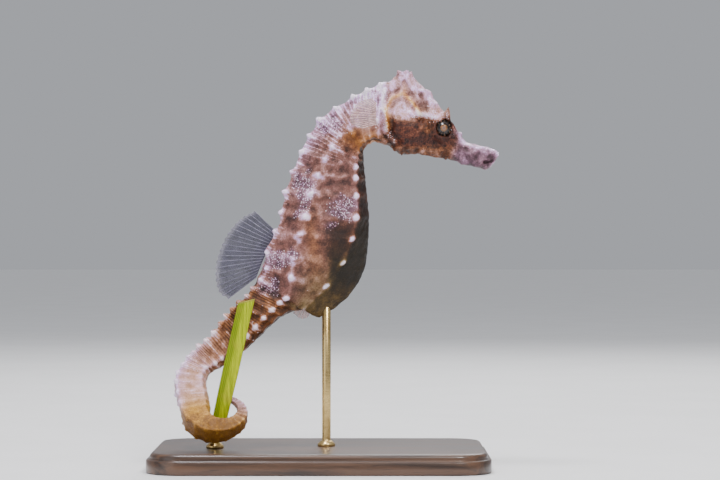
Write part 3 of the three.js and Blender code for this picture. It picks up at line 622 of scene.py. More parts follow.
def bodyMarks(points, rings, ridges, lumps, relief):
    # where the skin is light, warm, olive, rusty or warty, with painted highlights and shade among these;
    # everything here is 0 to about 1
    trueX, trueZ, onHead = points[..., 0], points[..., 2], relief["onHead"]
    x, z = trueX + 0.9 * lumps[0], trueZ + 0.9 * lumps[1]

    def ring(low, high):
        return smooth(rings, low, high)

    def ridge(low, high):
        return smooth(ridges, low, high)

    def stretch(a, b, c, d):
        # the rings from a to d, rising up to b and falling from c on
        return smooth(rings, a, b) * smooth(rings, d, c)

    # parts of the head
    hx, hz = x + 1.2 * lumps[1] + 0.6 * lumps[2], z + 0.9 * lumps[0] + 0.9 * lumps[2]
    cheekTop = 85.9 + 1.1 * smooth(x, 21, 27) + 1.3 * lumps[2]
    cheek = smooth(hz - cheekTop, 0.9, -0.9) * smooth(x, 16.4, 18.6) * smooth(hx, 35.2, 32.2) * onHead
    jawBand = smooth(z, 80.6, 78.8) * smooth(x, 35, 33) * onHead
    eyeSpine = bell(apart(trueX, trueZ, (31.3, 87.1)), 1.1) * onHead
    crown = np.maximum(smooth(hz - cheekTop, -0.7, 1.1) * onHead, smooth(eyeSpine, 0.15, 0.5))
    snout = smooth(hx, 32.4, 35.2) * onHead
    patch = bell(np.hypot((x - 27.2) / 1.1, z - 84.6), 1.9) * onHead
    arch = relief["arch"] * smooth(z, 83, 85)
    # temple: the dent above the brow, darkened as painted shade
    temple = bell(nearPath(x, z, [(26.2, 91.0), (27.0, 88.9)]), 0.7) * onHead
    plate = smooth(inOval(x, z, head["gillPlate"]), 1.1, 0.6) * onHead
    orbit = relief["orbit"] * (1 - eyeSpine) * smooth(lumps[2], -0.5, 0.4)

    # parts of the trunk
    throat = ring(5, 3) * ridge(1.9, 2.3) * ring(-0.5, 0.5)
    shoulder = stretch(-0.9, -0.3, 1.2, 3.4) * ridge(3.1, 2.2)
    onTrunk = stretch(2, 4, 12.5, 14.5)
    midFlank = stretch(5, 8, 12.5, 14) * ridge(1.1, 1.5)
    keel = stretch(2, 4, 12.5, 13.5) * ridge(3.0, 3.25)
    deep = onTrunk * smooth(x, 0.5, 4) * smooth(z, 64, 57) * smooth(z, 39, 47)
    belly = stretch(10, 12.4, 13.6, 14.5) * ridge(1.9, 2.8)
    streak = bell(np.hypot((x + 1.5) / 2.0, (z - 55) / 8), 1.0) * (1 - keel)
    saddles = bell((ridges - 2) / 0.32, 1) * bell(relief["off"], 0.32) * stretch(5.5, 7, 11.5, 12.5)
    saddles = saddles * smooth(lumps[3] + lumps[2], -0.4, 0.3)

    # parts of the tail
    # underside: the belly side of the tail, which gets painted shade down to about ring 27
    underside = ridge(2.7, 3.2) * ring(13, 14.5)
    winding = ring(27, 31)
    # low: the bottom of the coil, which gets painted shade: darker and golden
    low = winding * smooth(trueZ + 1.2 * lumps[0], 20, 10.5)
    limb = stretch(21, 25, 30, 34)

    # warts, and glints painted on as pale specks with painted shade between them
    clusters = smooth(lumps[0] + 0.5 * lumps[2], 0.1, 0.55)
    glints = np.zeros_like(x)
    for oval in skin["glints"]:
        glints = np.maximum(glints, smooth(inOval(x, z, oval) + 0.5 * lumps[2], 1.25, 0.55))
    bead = glints * ring(-0.5, 0.5) * ridge(3.2, 2.7)
    bead = bead + 0.9 * relief["edge"] + 0.5 * relief["brow"]
    bead = bead + 0.5 * shoulder * smooth(relief["crest"], 0.3, 0.8)
    bead = bead + 0.7 * crown * clusters + 0.5 * relief["crest"] * ring(14, 16) * ring(30, 26)
    bead = bead + 0.45 * snout * ridge(1.8, 0.8)

    # raised things are lighter and hollows darker: crests, ridges and knobs are partly pale skin and partly
    # painted highlights; the plate hollows and the dents of the head get painted shade, the raised parts of
    # the head painted highlights
    rise = (0.04 + 0.2 * smooth(lumps[2], -0.2, 0.5)) * (1 - 0.8 * throat) * (1 - 0.7 * midFlank)
    rise = rise * relief["crest"] * (1 - 0.5 * ring(23, 27) - 0.35 * ring(29, 32))
    blotch = (0.18 * lumps[2] + 0.13 * lumps[3]) * (1 - 0.4 * ring(2, 5) - 0.3 * ring(22, 27))
    rise = rise + 0.1 * relief["ridgeLine"] - 0.1 * relief["hollow"] + blotch + 0.32 * relief["lift"]
    shining = bell(ridges - 3, 0.3) * stretch(5, 7, 12, 13) + bell(ridges - 2, 0.3) * stretch(11, 12, 19, 21)
    rise = rise + 0.4 * relief["knob"] * (0.8 + 0.4 * lumps[3]) * (1 + 0.4 * shining)
    rise = rise * (1 - 0.55 * low) + 0.45 * shining * smooth(relief["knob"], 0.4, 0.75)
    rise = rise + 0.35 * ring(35, 38) * bell(relief["off"], 0.2) * bell(ridges - 1, 0.35)

    # light: lighter or darker skin, mostly its own colour, with painted light among it: the snout's lighter
    # top and darker underside, the brighter brow, upper back and glint patches are painted highlights; the
    # mouth cleft, the temple dent, the tail's underside and the bottom of the coil get painted shade
    light = total(
        (0.24, crown), (0.26, snout), (-0.38, snout * ridge(0.7, 1.8)), (0.3, snout * ring(-13.6, -14.4)),
        (-0.21, cheek), (0.09, jawBand), (0.12, patch), (0.16, relief["brow"]), (0.12, relief["edge"]),
        (-0.09, plate), (-0.1, arch), (-0.28, relief["cleft"]), (-0.12, orbit), (-0.2, temple),
        (0.28, shoulder), (0.08, onTrunk * ridge(1.6, 0.8)), (0.05, stretch(0, 2, 5, 7) * ridge(2.6, 2.0)),
        (-0.3, keel * (1 - 0.6 * smooth(z, 51, 43))), (-0.31, deep), (0.1, belly), (0.3, saddles),
        (0.08, glints * (1 - onHead)), (-0.06, ring(12.5, 14)), (-0.1, stretch(12, 14, 19, 22)),
        (0.14, ring(17, 20)), (0.12, ring(22, 27)), (-0.12, underside * ring(27, 22)), (0.06, limb),
        (-0.34, low))
    # warm: the skin's own warm colours, but on the inner side of the coil the warm tone is painted shade
    warm = total(
        (1.1, arch), (0.25, jawBand), (0.5, patch), (0.5, bell(apart(x, z, (31.5, 81.2)), 1.8) * onHead),
        (0.75, throat), (0.55, streak), (0.35, onTrunk * ridge(1.6, 2.2) * ring(6, 3)),
        (0.45, stretch(13, 14.5, 21, 25)), (0.5, winding * ridge(2.6, 3.3)))
    violet = total(
        (0.85, snout), (0.5, shoulder), (0.35, crown * smooth(z, 88.5, 91.5)), (0.5, glints * (1 - onHead)),
        (0.45, stretch(0, 2, 5, 8) * ridge(1.7, 1.0)), (0.18, onTrunk * (1 - keel) * (1 - deep)),
        (0.35, stretch(20, 24, 30, 33) * ridge(1.6, 0.9)), (0.35, ring(38, 42)))
    # gold: the lower parts of the coil are painted golden as shade tinted by light through the leaf: painted
    # shade
    gold = total(
        (0.95, low * ring(42, 37)), (0.22, limb * ridge(0.9, 1.5)),
        (0.4, limb * smooth(trueZ, 22, 14) * ridge(0.8, 1.6)))
    stripe = relief["stripe"] * (1 - 0.6 * midFlank) * (1 + 0.5 * stretch(13, 15, 22, 25))
    return {
        "tone": np.maximum(0.4 + rise + light, 0.2 * cheek), "warm": warm, "violet": violet, "gold": gold,
        "olive": total((0.9, keel * smooth(z, 66, 58)), (0.8, deep * smooth(z, 58, 50)), (0.9, belly)),
        "rust": cheek * (1 - 0.6 * patch) * (1 - 0.75 * jawBand) * (1 - relief["arch"]) * (1 - eyeSpine),
        "pale": ring(18, 24) * (1 - underside * ring(27, 22)) + crown + 0.8 * snout + shoulder,
        "even": np.maximum.reduce([
            0.85 * low, 0.8 * limb, 0.6 * stretch(12, 14, 22, 25), 0.7 * throat,
            0.35 * ring(4, 6) + 0.25 * midFlank, 0.5 * ring(-8, -10)]),
        "bead": bead, "stripe": stripe * (1 - 0.28 * ring(28, 32)),
    }


def layFlat(piece, rings, rows):
    # a UV map of the skin's own shape, lengthways across each strip and once round the body up it
    mesh, columns = piece.data, skin["columns"]
    vertex = np.empty(len(mesh.loops), np.int32)
    mesh.loops.foreach_get("vertex_index", vertex)
    start = np.empty(len(mesh.polygons), np.int32)
    mesh.polygons.foreach_get("loop_start", start)
    face = np.searchsorted(start, np.arange(len(vertex)), "right") - 1
    hub = vertex >= len(rings) * columns
    row = np.where(hub, np.where(vertex == len(rings) * columns, 0, len(rings) - 1), vertex // columns)
    column = np.where(hub, -1.0, vertex % columns)
    last = np.maximum.reduceat(column, start)[face]
    column = np.where(hub, last - 0.5, np.where((column == 0) & (last == columns - 1), columns, column))
    length = np.concatenate([[0], np.cumsum(np.linalg.norm(np.diff(rows.mean(1), axis=0), axis=-1))])
    lowest = np.minimum(rings[np.minimum.reduceat(row, start)[face]], line["tip"] - 0.01)
    past = np.where(hub, np.where(row == 0, -0.004, 0.004), 0)
    place = np.zeros((len(vertex), 2))
    for near, far, left, low, width, height in skin["flat"]:
        here = (lowest > near - 1e-6) & (lowest < far - 1e-6)
        a, b = np.interp([near, far], rings, length)
        u = (length[row] - a) / (b - a) + past
        place[here] = np.stack([left + width * u, low + height * column / columns], -1)[here]
    mesh.uv_layers.new(name="OFBake").data.foreach_set("uv", place.ravel())


def buildSkin(material):
    rings, ridges, flanks = skinGrid()
    plain = bodySurface(rings, ridges, flanks)
    lumps = [grain(plain, 3.0, 1), grain(plain, 2.2, 2), grain(plain, 1.0, 3), grain(plain, 0.6, 4)]
    points, marks = shapeHead(plain, rings, lumps)
    height, relief = ringRelief(plain, rings, ridges, lumps)
    relief.update(marks)
    calm = (1 + 0.7 * relief["onHead"]) * smooth(rings, 47, 36)
    calm = calm * (1 - 0.8 * bell(relief["reach"], 2.6) * relief["onHead"]) * smooth(rings, -14.6, -13.6)
    height = height + skin["wrinkle"] * (0.5 - 1.6 * np.abs(lumps[2])) * calm
    height = height + skin["pimple"] * lumps[3] * calm
    points = points + surfaceNormals(points) * height[..., None]

    # the lips turn in to a small mouth
    inwards = unit(points[1].mean(0) - points[0].mean(0))
    middle = points[0].mean(0)
    mouth = [middle + (points[0] - middle) * share + inwards * deep for share, deep in head["lips"]]
    rows = np.concatenate([np.array(mouth), points])
    piece = newTube("seahorse_skin", rows, material)
    ringOfRow = np.concatenate([line["lips"] + np.array([0, 1e-4, 2e-4]), rings[:, 0]])
    ringOfRow[len(mouth)] += 3e-4
    layFlat(piece, ringOfRow, rows)

    every = np.ones_like(points[..., 0])
    layers = bodyMarks(plain, rings * every, ridges * every, lumps, relief)
    for name, values in layers.items():
        values = np.clip(values * every, 0, 2)
        flat = np.concatenate([np.repeat(values[:1], len(mouth), 0), values]).ravel()
        setAttribute(piece, name, flat, [flat[0], flat[-1]])
    return piece


# Ramps from dark to light tone; the lilac-white light end of most of them colours the pale knobs and the
# painted highlights, whose bluish tint of the light is painted in
skinColours = {
    "main": [(0.0, (0.014, 0.005, 0.003)), (0.22, (0.05, 0.017, 0.008)), (0.42, (0.165, 0.058, 0.026)),
             (0.56, (0.3, 0.125, 0.07)), (0.7, (0.5, 0.27, 0.27)), (0.85, (0.67, 0.41, 0.68)),
             (1.0, (0.92, 0.75, 1.0))],
    "pale": [(0.0, (0.05, 0.018, 0.011)), (0.3, (0.2, 0.085, 0.055)), (0.52, (0.46, 0.25, 0.19)),
             (0.7, (0.62, 0.36, 0.43)), (0.86, (0.74, 0.47, 0.77)), (1.0, (0.93, 0.77, 1.0))],
    "warm": [(0.0, (0.035, 0.011, 0.002)), (0.35, (0.2, 0.06, 0.007)), (0.6, (0.47, 0.18, 0.02)),
             (0.85, (0.74, 0.42, 0.13)), (1.0, (0.9, 0.72, 0.55))],
    # gold: painted shade on the lower parts of the coil
    "gold": [(0.0, (0.06, 0.022, 0.002)), (0.3, (0.22, 0.09, 0.006)), (0.5, (0.48, 0.23, 0.015)),
             (0.75, (0.76, 0.45, 0.07)), (1.0, (0.92, 0.74, 0.45))],
    "violet": [(0.0, (0.025, 0.011, 0.018)), (0.25, (0.09, 0.045, 0.075)), (0.45, (0.25, 0.13, 0.21)),
               (0.65, (0.5, 0.3, 0.5)), (0.82, (0.72, 0.48, 0.88)), (1.0, (0.96, 0.86, 1.0))],
    "olive": [(0.0, (0.01, 0.006, 0.002)), (0.25, (0.035, 0.02, 0.006)), (0.45, (0.11, 0.064, 0.018)),
              (0.7, (0.24, 0.16, 0.06)), (1.0, (0.8, 0.7, 0.78))],
    "rust": [(0.0, (0.014, 0.004, 0.003)), (0.24, (0.055, 0.013, 0.008)), (0.46, (0.15, 0.038, 0.018)),
             (0.65, (0.31, 0.115, 0.06)), (0.85, (0.6, 0.36, 0.33)), (1.0, (0.88, 0.72, 0.82))],
}


def skinMaterial():
    s = Shader("seahorse skin")
    broad, mid, fine = s.noise(5, 3), s.noise(1.3, 4, 0.65), s.noise(0.4, 3, 0.6)
    stripe, olive, rust, bead = (s.attribute(name) for name in ("stripe", "olive", "rust", "bead"))
    patchy = s.step(broad, 0.4, 0.6)
    mottle = (mid - 0.5) * 0.85 + (fine - 0.5) * 0.8 + (broad - 0.5) * 0.3
    tone = s.attribute("tone") + mottle * (1 - s.attribute("even") * 0.7)
    lines = s.step(stripe * (0.6 + 0.8 * mid), 0.62, 0.85) * (0.35 + 0.65 * patchy)
    tone = tone + lines * 0.26 * (1 - olive)
    # pale specks on the wart patches: painted glints
    glintSpecks = s.step(s.dots(0.5), 0.36, 0.16) * s.step(bead + (mid - 0.5) * 1.5, 0.15, 0.6)
    freckle = s.step(s.dots(0.9), 0.4, 0.22) * s.step(s.noise(2.0, 2), 0.42, 0.54) * rust
    # the wart patches darken around the specks: painted shade between the glints
    tone = tone + glintSpecks * 0.6 - freckle * 0.36 - bead * 0.08

    def ramp(name):
        return s.node("ShaderNodeValToRGB", {"stops": skinColours[name]}, {"Fac": tone})

    colour = s.mix(s.attribute("pale"), ramp("main"), ramp("pale"))
    colour = s.mix(s.attribute("violet") * (0.6 + 0.7 * broad), colour, ramp("violet"))
    colour = s.mix(s.attribute("warm") * (0.55 + 0.6 * mid), colour, ramp("warm"))
    # gold: painted shade on the lower parts of the coil
    colour = s.mix(s.attribute("gold"), colour, ramp("gold"))
    colour = s.mix(olive * (0.5 + 0.8 * broad), colour, ramp("olive"))
    colour = s.mix(rust * 0.9, colour, ramp("rust"))
    relief = s.bump(mid, 0.3, 0.9)
    relief = s.bump(fine, 0.16, 0.9, relief)
    relief = s.bump(s.dots(0.3), 0.08, 0.6, relief)
    roughness = 0.46 - 0.24 * s.step(tone, 0.4, 0.9) + 0.25 * (mid - 0.5)
    return s.finish({"Base Color": colour, "Roughness": roughness, "Normal": relief,
                     "Specular IOR Level": 0.32, "Subsurface Weight": 0.05,
                     "Subsurface Radius": (0.8, 0.4, 0.25), "Subsurface Scale": 0.5 * mm})


skinPiece = buildSkin(skinMaterial())
flesh = ["snout", "head", "neck", "trunk_upper", "trunk_lower", "tail_base", "tail_middle",
         "tail_hook", "tail_coil", "tail_tip", "coronet"]
print("skin:", len(skinPiece.data.polygons), "faces")

# Papillae, the small warts on the skin, coloured pale as painted glints
papillae = {"most per square mm": 2.6, "radius": 0.1 * mm, "least scale": 0.3, "most scale": 1.6,
            "flatness": 0.7, "patch on the map": 0.003, "seed": 5}


def mottled(name, spot, first, second, rough, pore, more):
    # two tones in soft spots, with fine pores; spot is [size, from, to], rough is [least, added, size]
    s = Shader(name)
    tone = s.mix(s.step(s.noise(spot[0], 2), spot[1], spot[2]), first, second)
    return s.finish({"Base Color": tone, "Roughness": rough[0] + rough[1] * s.noise(rough[2], 2),
                     "Normal": s.bump(s.noise(pore, 2), 0.02, 0.5), **more})


def buildPapillae(onto, material):
    g = Maker("papillae on skin", papillae)
    density = g.attribute("bead") * g.given("most per square mm") * 1e6
    made = g.node("GeometryNodeDistributePointsOnFaces", {"distribute_method": "RANDOM"},
                  {"Mesh": g.given("Geometry"), "Density": density, "Seed": g.given("seed")})
    turned = Socket(g, made.link.node.outputs["Rotation"])
    ball = g.node("GeometryNodeMeshUVSphere", {}, {"Segments": 8, "Rings": 4, "Radius": g.given("radius")})
    ball = g.store(ball, "patch", g.vector("SCALE", g.node("GeometryNodeInputPosition"),
                                           {"Scale": g.given("patch on the map") / (g.given("radius") * 2)}))
    made = g.store(made, "root", g.attribute("OFBake", "FLOAT_VECTOR"))
    size = g.node("FunctionNodeRandomValue", {"data_type": "FLOAT"},
                  {2: g.given("least scale"), 3: g.given("most scale"), "Seed": g.given("seed")}, 1)
    stretch = g.node("ShaderNodeCombineXYZ", {}, {0: size, 1: size, 2: size * g.given("flatness")})
    placed = g.node("GeometryNodeInstanceOnPoints", {},
                    {"Points": made, "Instance": ball, "Rotation": turned, "Scale": stretch})
    real = g.node("GeometryNodeRealizeInstances", {}, {0: placed})
    flat = g.vector("ADD", g.attribute("root", "FLOAT_VECTOR"), {1: g.attribute("patch", "FLOAT_VECTOR")})
    g.end(g.store(real, "OFBake", flat, "CORNER", "FLOAT2"), material)
    return g.run(add("papilla host", onto.data.copy()), "skin_papillae")


# the warts are pale lilac-white: painted glints
papillaPiece = buildPapillae(skinPiece, mottled(
    "papilla", (0.8, 0.4, 0.65), (0.8, 0.7, 0.8), (0.5, 0.34, 0.33), (0.25, 0.2, 1.5), 0.15,
    {"Coat Weight": 0.35, "Coat Roughness": 0.15}))
print("papillae:", len(papillaPiece.data.polygons), "faces")

# Eyes. An eyeball's middle is "out" from the middle of the head; the cornea rises between its two edges.
eye = {"out": 2.8, "size": (2.15, 1.9, 2.15), "pupil": 0.42, "iris": 0.86, "cornea": 0.22,
       "corneaEdge": (1.35, 0.5), "segments": 64, "rings": 40}


def buildEye(flank, name, material):
    polar = np.linspace(0, math.pi, eye["rings"])[1:-1, None]
    turn = np.linspace(0, 2 * math.pi, eye["segments"], endpoint=False)[None, :]
    side, axial = np.sin(polar), np.cos(polar) * np.ones_like(turn)
    (x, z), (ahead, out, up) = head["eye"], eye["size"]
    fromAxis = side * ahead * np.ones_like(turn)
    bulge = eye["cornea"] * smooth(fromAxis, *eye["corneaEdge"]) * (axial > 0)
    rows = np.stack([x + ahead * side * np.cos(turn), flank * (eye["out"] + out * axial + bulge),
                     z + up * side * np.sin(turn)], -1)
    piece = newTube(name, rows, material)
    setAttribute(piece, "fromAxis", np.where(axial > 0, fromAxis, 4.0), [0, 4])
    setAttribute(piece, "spin", turn * np.ones_like(side), [0, 0])
    return piece


def eyeMaterial():
    s = Shader("eye")
    away, spin = s.attribute("fromAxis"), s.attribute("spin")
    mottle = s.noise(0.55, 3, 0.6)
    spokes = s.wave("SINE", spin * 13 + mottle * 3)
    outer = s.step(away, 1.3, 1.7)
    speck = s.mix(outer, (0.035, 0.02, 0.016), (0.2, 0.11, 0.07))
    ground = s.mix(s.step(mottle + 0.11 * spokes, 0.5, 0.66), (0.007, 0.006, 0.006), speck)
    gold = s.mix(s.step(s.noise(0.22, 3), 0.38, 0.62), (0.27, 0.115, 0.035), (0.11, 0.045, 0.018))
    worn = away + 0.25 * (mottle - 0.5)
    colour = s.mix(s.step(worn, eye["iris"] + 0.12, eye["iris"] - 0.1), ground, gold)
    colour = s.mix(s.step(away, eye["pupil"] + 0.2, eye["pupil"] + 0.03), colour, (0.3, 0.15, 0.07))
    # the pupil is painted greyish pink: a painted reflection on it
    colour = s.mix(s.step(away, eye["pupil"] + 0.03, eye["pupil"] - 0.04), colour, (0.2, 0.125, 0.11))
    return s.finish({"Base Color": colour, "Roughness": s.step(away, 1.0, 1.5, 0.08, 0.5),
                     "Normal": s.bump(s.noise(0.3, 2), 0.05, 0.6), "Specular IOR Level": 0.35,
                     "Coat Weight": s.step(away, 0.9, 1.4, 0.45, 0.1), "Coat Roughness": 0.03})


eyeSkin = eyeMaterial()
eyes = {"eye_right": buildEye(-1, "right_eyeball", eyeSkin), "eye_left": buildEye(1, "left_eyeball", eyeSkin)}
print("eyes built")

# Fins. Each has a foot and a free edge in its own plane, as rows of [share, across, up].
fins = {
    "dorsal_fin": {
        "foot": [[0, -11, 58.6], [0.35, -12.7, 54.8], [0.7, -14.4, 51], [1, -15.9, 47.2]],
        "edge": [[0, -16.4, 63.7], [0.16, -20, 61.7], [0.36, -23.4, 57.5], [0.58, -25.7, 51.9],
                 [0.76, -26.1, 46.9], [0.9, -25.2, 43.4], [1, -23, 41.8]],
        "rays": 19, "wave": 0.3, "waves": 2.5, "look": "grey",
    },
    "anal_fin": {
        "foot": [[0, -3.2, 39.6], [1, -4.6, 39.7]],
        "edge": [[0, -2.4, 38.3], [0.35, -3.2, 37.1], [0.7, -4.9, 36.85], [1, -6.7, 38.2]],
        "rays": 6, "wave": 0.05, "waves": 1, "look": "pink",
    },
    "pectoral": {
        "foot": [[0, 0.1, 3.2], [1, 0.1, -1.9]],
        "edge": [[0, -1.2, 4.5], [0.25, -4.1, 3.6], [0.5, -6.1, 1.1], [0.75, -6.3, -1.6], [1, -3.4, -2.9]],
        "rays": 15, "wave": 0.16, "waves": 2, "look": "pink", "at": (13.9, 4.5, 87.15), "flare": 12,
    },
    # [tone of the web, its cover, tone of the rays]
    "looks": {"grey": ((0.075, 0.07, 0.115), 0.56, (0.2, 0.19, 0.26)),
              "pink": ((0.6, 0.36, 0.33), 0.3, (0.72, 0.5, 0.5))},
    "ray radius": 0.1,
    "web thickness": 0.1,
    "scallop": 0.02,
    "steps": 26,
}


def finGrid(fin, count):
    s = np.linspace(0, 1, count)
    t = np.linspace(0, 1, fins["steps"])[None, :, None]
    foot, edge = along(np.array(fin["foot"], float), s), along(np.array(fin["edge"], float), s)
    return foot[:, None] + (edge - foot)[:, None] * t, s, t[..., 0]


def finPlace(fin, flat, s, t, flank=1):
    swing = fin["wave"] * np.sin(2 * math.pi * fin["waves"] * s)[:, None] * t**1.5
    x, z, y = flat[..., 0], flat[..., 1], swing
    if "at" in fin:
        flare = math.radians(fin["flare"])
        x, y = x * math.cos(flare) + y * math.sin(flare), -x * math.sin(flare) + y * math.cos(flare)
        ax, ay, az = fin["at"]
        return np.stack([x + ax, (y + ay) * flank, z + az], -1)
    return np.stack([x, y * flank, z], -1)


def buildWeb(name, fin, material, flank=1):
    count = (fin["rays"] - 1) * 8 + 1
    flat, s, t = finGrid(fin, count)
    scallop = 0.5 + 0.5 * np.cos(2 * math.pi * s * (fin["rays"] - 1))
    drawnIn = (fins["scallop"] * (1 - scallop))[:, None, None] * (t**3)[..., None]
    flat = flat - (flat[:, -1:] - flat[:, :1]) * drawnIn
    points = finPlace(fin, flat, s, t, flank)
    across, down = np.gradient(points, axis=0), np.gradient(points, axis=1)
    normal = unit(np.cross(across, down))
    half = fins["web thickness"] / 2 * (1 - 0.5 * t)[..., None]
    piece = newTube(name, frontAndBack(points + normal * half, points - normal * half), material)
    t = t + np.zeros(points.shape[:2])
    out = frontAndBack(t, t)
    setAttribute(piece, "outwards", out, [0.5, 0.5])
    setAttribute(piece, "ray", np.broadcast_to(scallop[:, None], out.shape), [0, 0])
    return piece


def buildRays(name, fin, material, flank=1):
    flat, s, t = finGrid(fin, fin["rays"])
    points = finPlace(fin, flat, s, t, flank)
    rays, steps = points.shape[:2]
    edges = [(i * steps + j, i * steps + j + 1) for i in range(rays) for j in range(steps - 1)]
    host = newPiece("ray host", points.reshape(-1, 3), [], None, edges)
    setAttribute(host, "taper", 1 - 0.72 * np.broadcast_to(t, (rays, steps)))
    g = Maker("fin rays", {"radius": fins["ray radius"] * mm})
    curves = g.node("GeometryNodeMeshToCurve", {}, {"Mesh": g.given("Geometry")})
    curves = g.node("GeometryNodeSetCurveRadius", {}, {"Curve": curves, "Radius": g.attribute("taper")})
    ring = g.node("GeometryNodeCurvePrimitiveCircle", {}, {"Resolution": 8, "Radius": g.given("radius")})
    tubes = g.node("GeometryNodeCurveToMesh", {}, {"Curve": curves, "Profile Curve": ring, "Fill Caps": True})
    g.end(tubes, material)
    return g.run(host, name)


def webMaterial(name, tone, alpha):
    s = Shader(name)
    out, ray = s.attribute("outwards"), s.attribute("ray")
    cloud = s.noise(1.6, 3)
    colour = s.mix(s.step(cloud, 0.4, 0.65), tone, tuple(0.6 * v for v in tone))
    colour = s.mix(s.step(out, 0.85, 1.0) * 0.4, colour, (0.5, 0.48, 0.55))
    seen = alpha + 0.3 * s.step(out, 0.35, 0.0) + 0.12 * cloud + 0.1 * s.step(ray, 0.6, 1.0)
    return s.finish({"Base Color": colour, "Roughness": 0.25 + 0.2 * cloud, "Alpha": seen,
                     "Normal": s.bump(s.noise(0.8, 2), 0.03, 0.35), "Coat Weight": 0.2})


finLooks = {}
for look, (webTone, alpha, rayTone) in fins["looks"].items():
    ray = mottled("fin ray " + look, (0.9, 0.42, 0.62), rayTone, tuple(0.55 * v for v in rayTone),
                  (0.32, 0.15, 0.6), 0.2, {"Coat Weight": 0.2})
    finLooks[look] = webMaterial("fin web " + look, webTone, alpha), ray
finPieces = {}
for node, key, flank in (("dorsal_fin", "dorsal_fin", 1), ("anal_fin", "anal_fin", 1),
                         ("pectoral_fin_right", "pectoral", -1), ("pectoral_fin_left", "pectoral", 1)):
    web, ray = finLooks[fins[key]["look"]]
    finPieces[node] = (buildWeb(node + "_web", fins[key], web, flank),
                       buildRays(node + "_rays", fins[key], ray, flank))
print("fins built")

# The leaf, a tilted blade with a fold along its middle
leaf = {"foot": (-25.9, -5.85, 7.1), "top": (-18.1, -5.85, 41.5), "width": 3.9, "thickness": 0.55,
        "fold": 0.32, "veins": 9, "veinRise": 0.03, "columns": 28, "rows": 120, "cutSlant": 0.9}


def buildLeaf(material):
    v = np.linspace(0, 1, leaf["rows"])[:, None]
    u = np.linspace(-1, 1, leaf["columns"])[None, :]
    foot, top = np.array(leaf["foot"]), np.array(leaf["top"])
    length = np.linalg.norm(top - foot)
    up = (top - foot) / length
    across = np.array([up[2], 0, -up[0]])
    lengthAt = v * length + leaf["cutSlant"] * u * smooth(v, 0.9, 1)
    half = leaf["width"] / 2 * (0.93 + 0.07 * smooth(v, 0, 0.5)) * (1 - 0.02 * np.sin(9 * v))
    bend = leaf["fold"] * (np.abs(u) ** 1.5 - 0.45) + 0.1 * np.sin(7 * v + 0.8) * u
    veins = leaf["veinRise"] * np.cos(u * math.pi * leaf["veins"])
    thick = leaf["thickness"] / 2 * np.sqrt(np.clip(1 - (0.97 * u) ** 6, 0, 1)) * (1 - 0.35 * np.abs(u))
    centre = foot + up * lengthAt[..., None] + across * (half * u)[..., None]
    faceOut = np.array([0, -1, 0])
    front = centre + faceOut * (-bend + thick + veins)[..., None]
    back = centre + faceOut * (-bend - thick - veins)[..., None]
    piece = newTube("seagrass_blade", frontAndBack(front, back), material)
    u = u + np.zeros(front.shape[:2])
    both = frontAndBack(u, u)
    setAttribute(piece, "across", both, [0, 0])
    setAttribute(piece, "lengthways", np.broadcast_to(v, both.shape), [0, 1])
    return piece


def leafMaterial():
    s = Shader("seagrass")
    across, lengthways = s.attribute("across"), s.attribute("lengthways")
    streak = s.noise(0.45, 3, 0.6, s.stretched((1, 1, 0.08), (0, 0.225, 0)))
    broad = s.noise(5, 3)
    vein = s.wave("COSINE", across * math.pi * leaf["veins"])
    colour = s.mix(s.step(streak, 0.35, 0.68), (0.26, 0.34, 0.0), (0.5, 0.58, 0.0))
    # one side of the fold is darker: painted shade
    colour = s.mix(s.step(across, 0.1, -0.45) * 0.8, colour, (0.1, 0.17, 0.0))
    colour = s.mix(s.step(vein, 0.5, 1.0) * 0.3, colour, (0.66, 0.7, 0.01))
    colour = s.mix(s.step(broad, 0.56, 0.72) * 0.35, colour, (0.34, 0.27, 0.03))
    dry = s.step(lengthways, 0.975, 1.0) + s.step(lengthways, 0.02, 0.0)
    colour = s.mix(dry * 0.8, colour, (0.3, 0.22, 0.06))
    relief = s.bump(vein, 0.05, 0.4, s.bump(streak, 0.06, 0.5))
    return s.finish({"Base Color": colour, "Roughness": 0.4 + 0.25 * streak, "Normal": relief,
                     "Specular IOR Level": 0.14})


leafPiece = buildLeaf(leafMaterial())
print("leaf built")

# The stand
stand = {"length": 84, "width": 52, "height": 5, "corner": 9, "round": 1.1, "rodRadius": 1.1,
         "bodyRod": (1.6, 0.0), "bodyRodTop": 39.9, "leafRod": (-25.9, -5.85), "leafRodTop": 6.75}


def buildBase(material):
    r, h, c = stand["round"], stand["height"], stand["corner"]
    x, y = stand["length"] / 2 - c, stand["width"] / 2 - c
    outline = []
    for quarter, (sx, sy) in enumerate(((1, 1), (-1, 1), (-1, -1), (1, -1))):
        for angle in np.linspace(0, math.pi / 2, 14) + quarter * math.pi / 2:
            outline.append((sx * x, sy * y, math.cos(angle), math.sin(angle)))
    outline = np.array(outline)
    # [inset, height] of each row from the underside to the top, with a step below the upper edge
    profile = [(6, 0), (0.5, 0), (0.15, 0.12), (0, 0.5), (0, h - 1.9), (0.15, h - 1.7), (0.75, h - 1.6),
               (0.9, h - 1.45)]
    profile += [(0.9 + r * (1 - math.cos(a)), h - r + r * math.sin(a))
                for a in np.linspace(0, math.pi / 2, 7)]
    profile += [(3.4, h), (8, h)]
    rows = []
    for inset, z in profile:
        reach = max(c - inset, 0)
        shrink = max(inset - c, 0)
        px = outline[:, 0] - np.sign(outline[:, 0]) * shrink + outline[:, 2] * reach
        py = outline[:, 1] - np.sign(outline[:, 1]) * shrink + outline[:, 3] * reach
        rows.append(np.stack([px, py, np.full(len(outline), z)], -1))
    return newTube("wooden_base", np.array(rows), material)


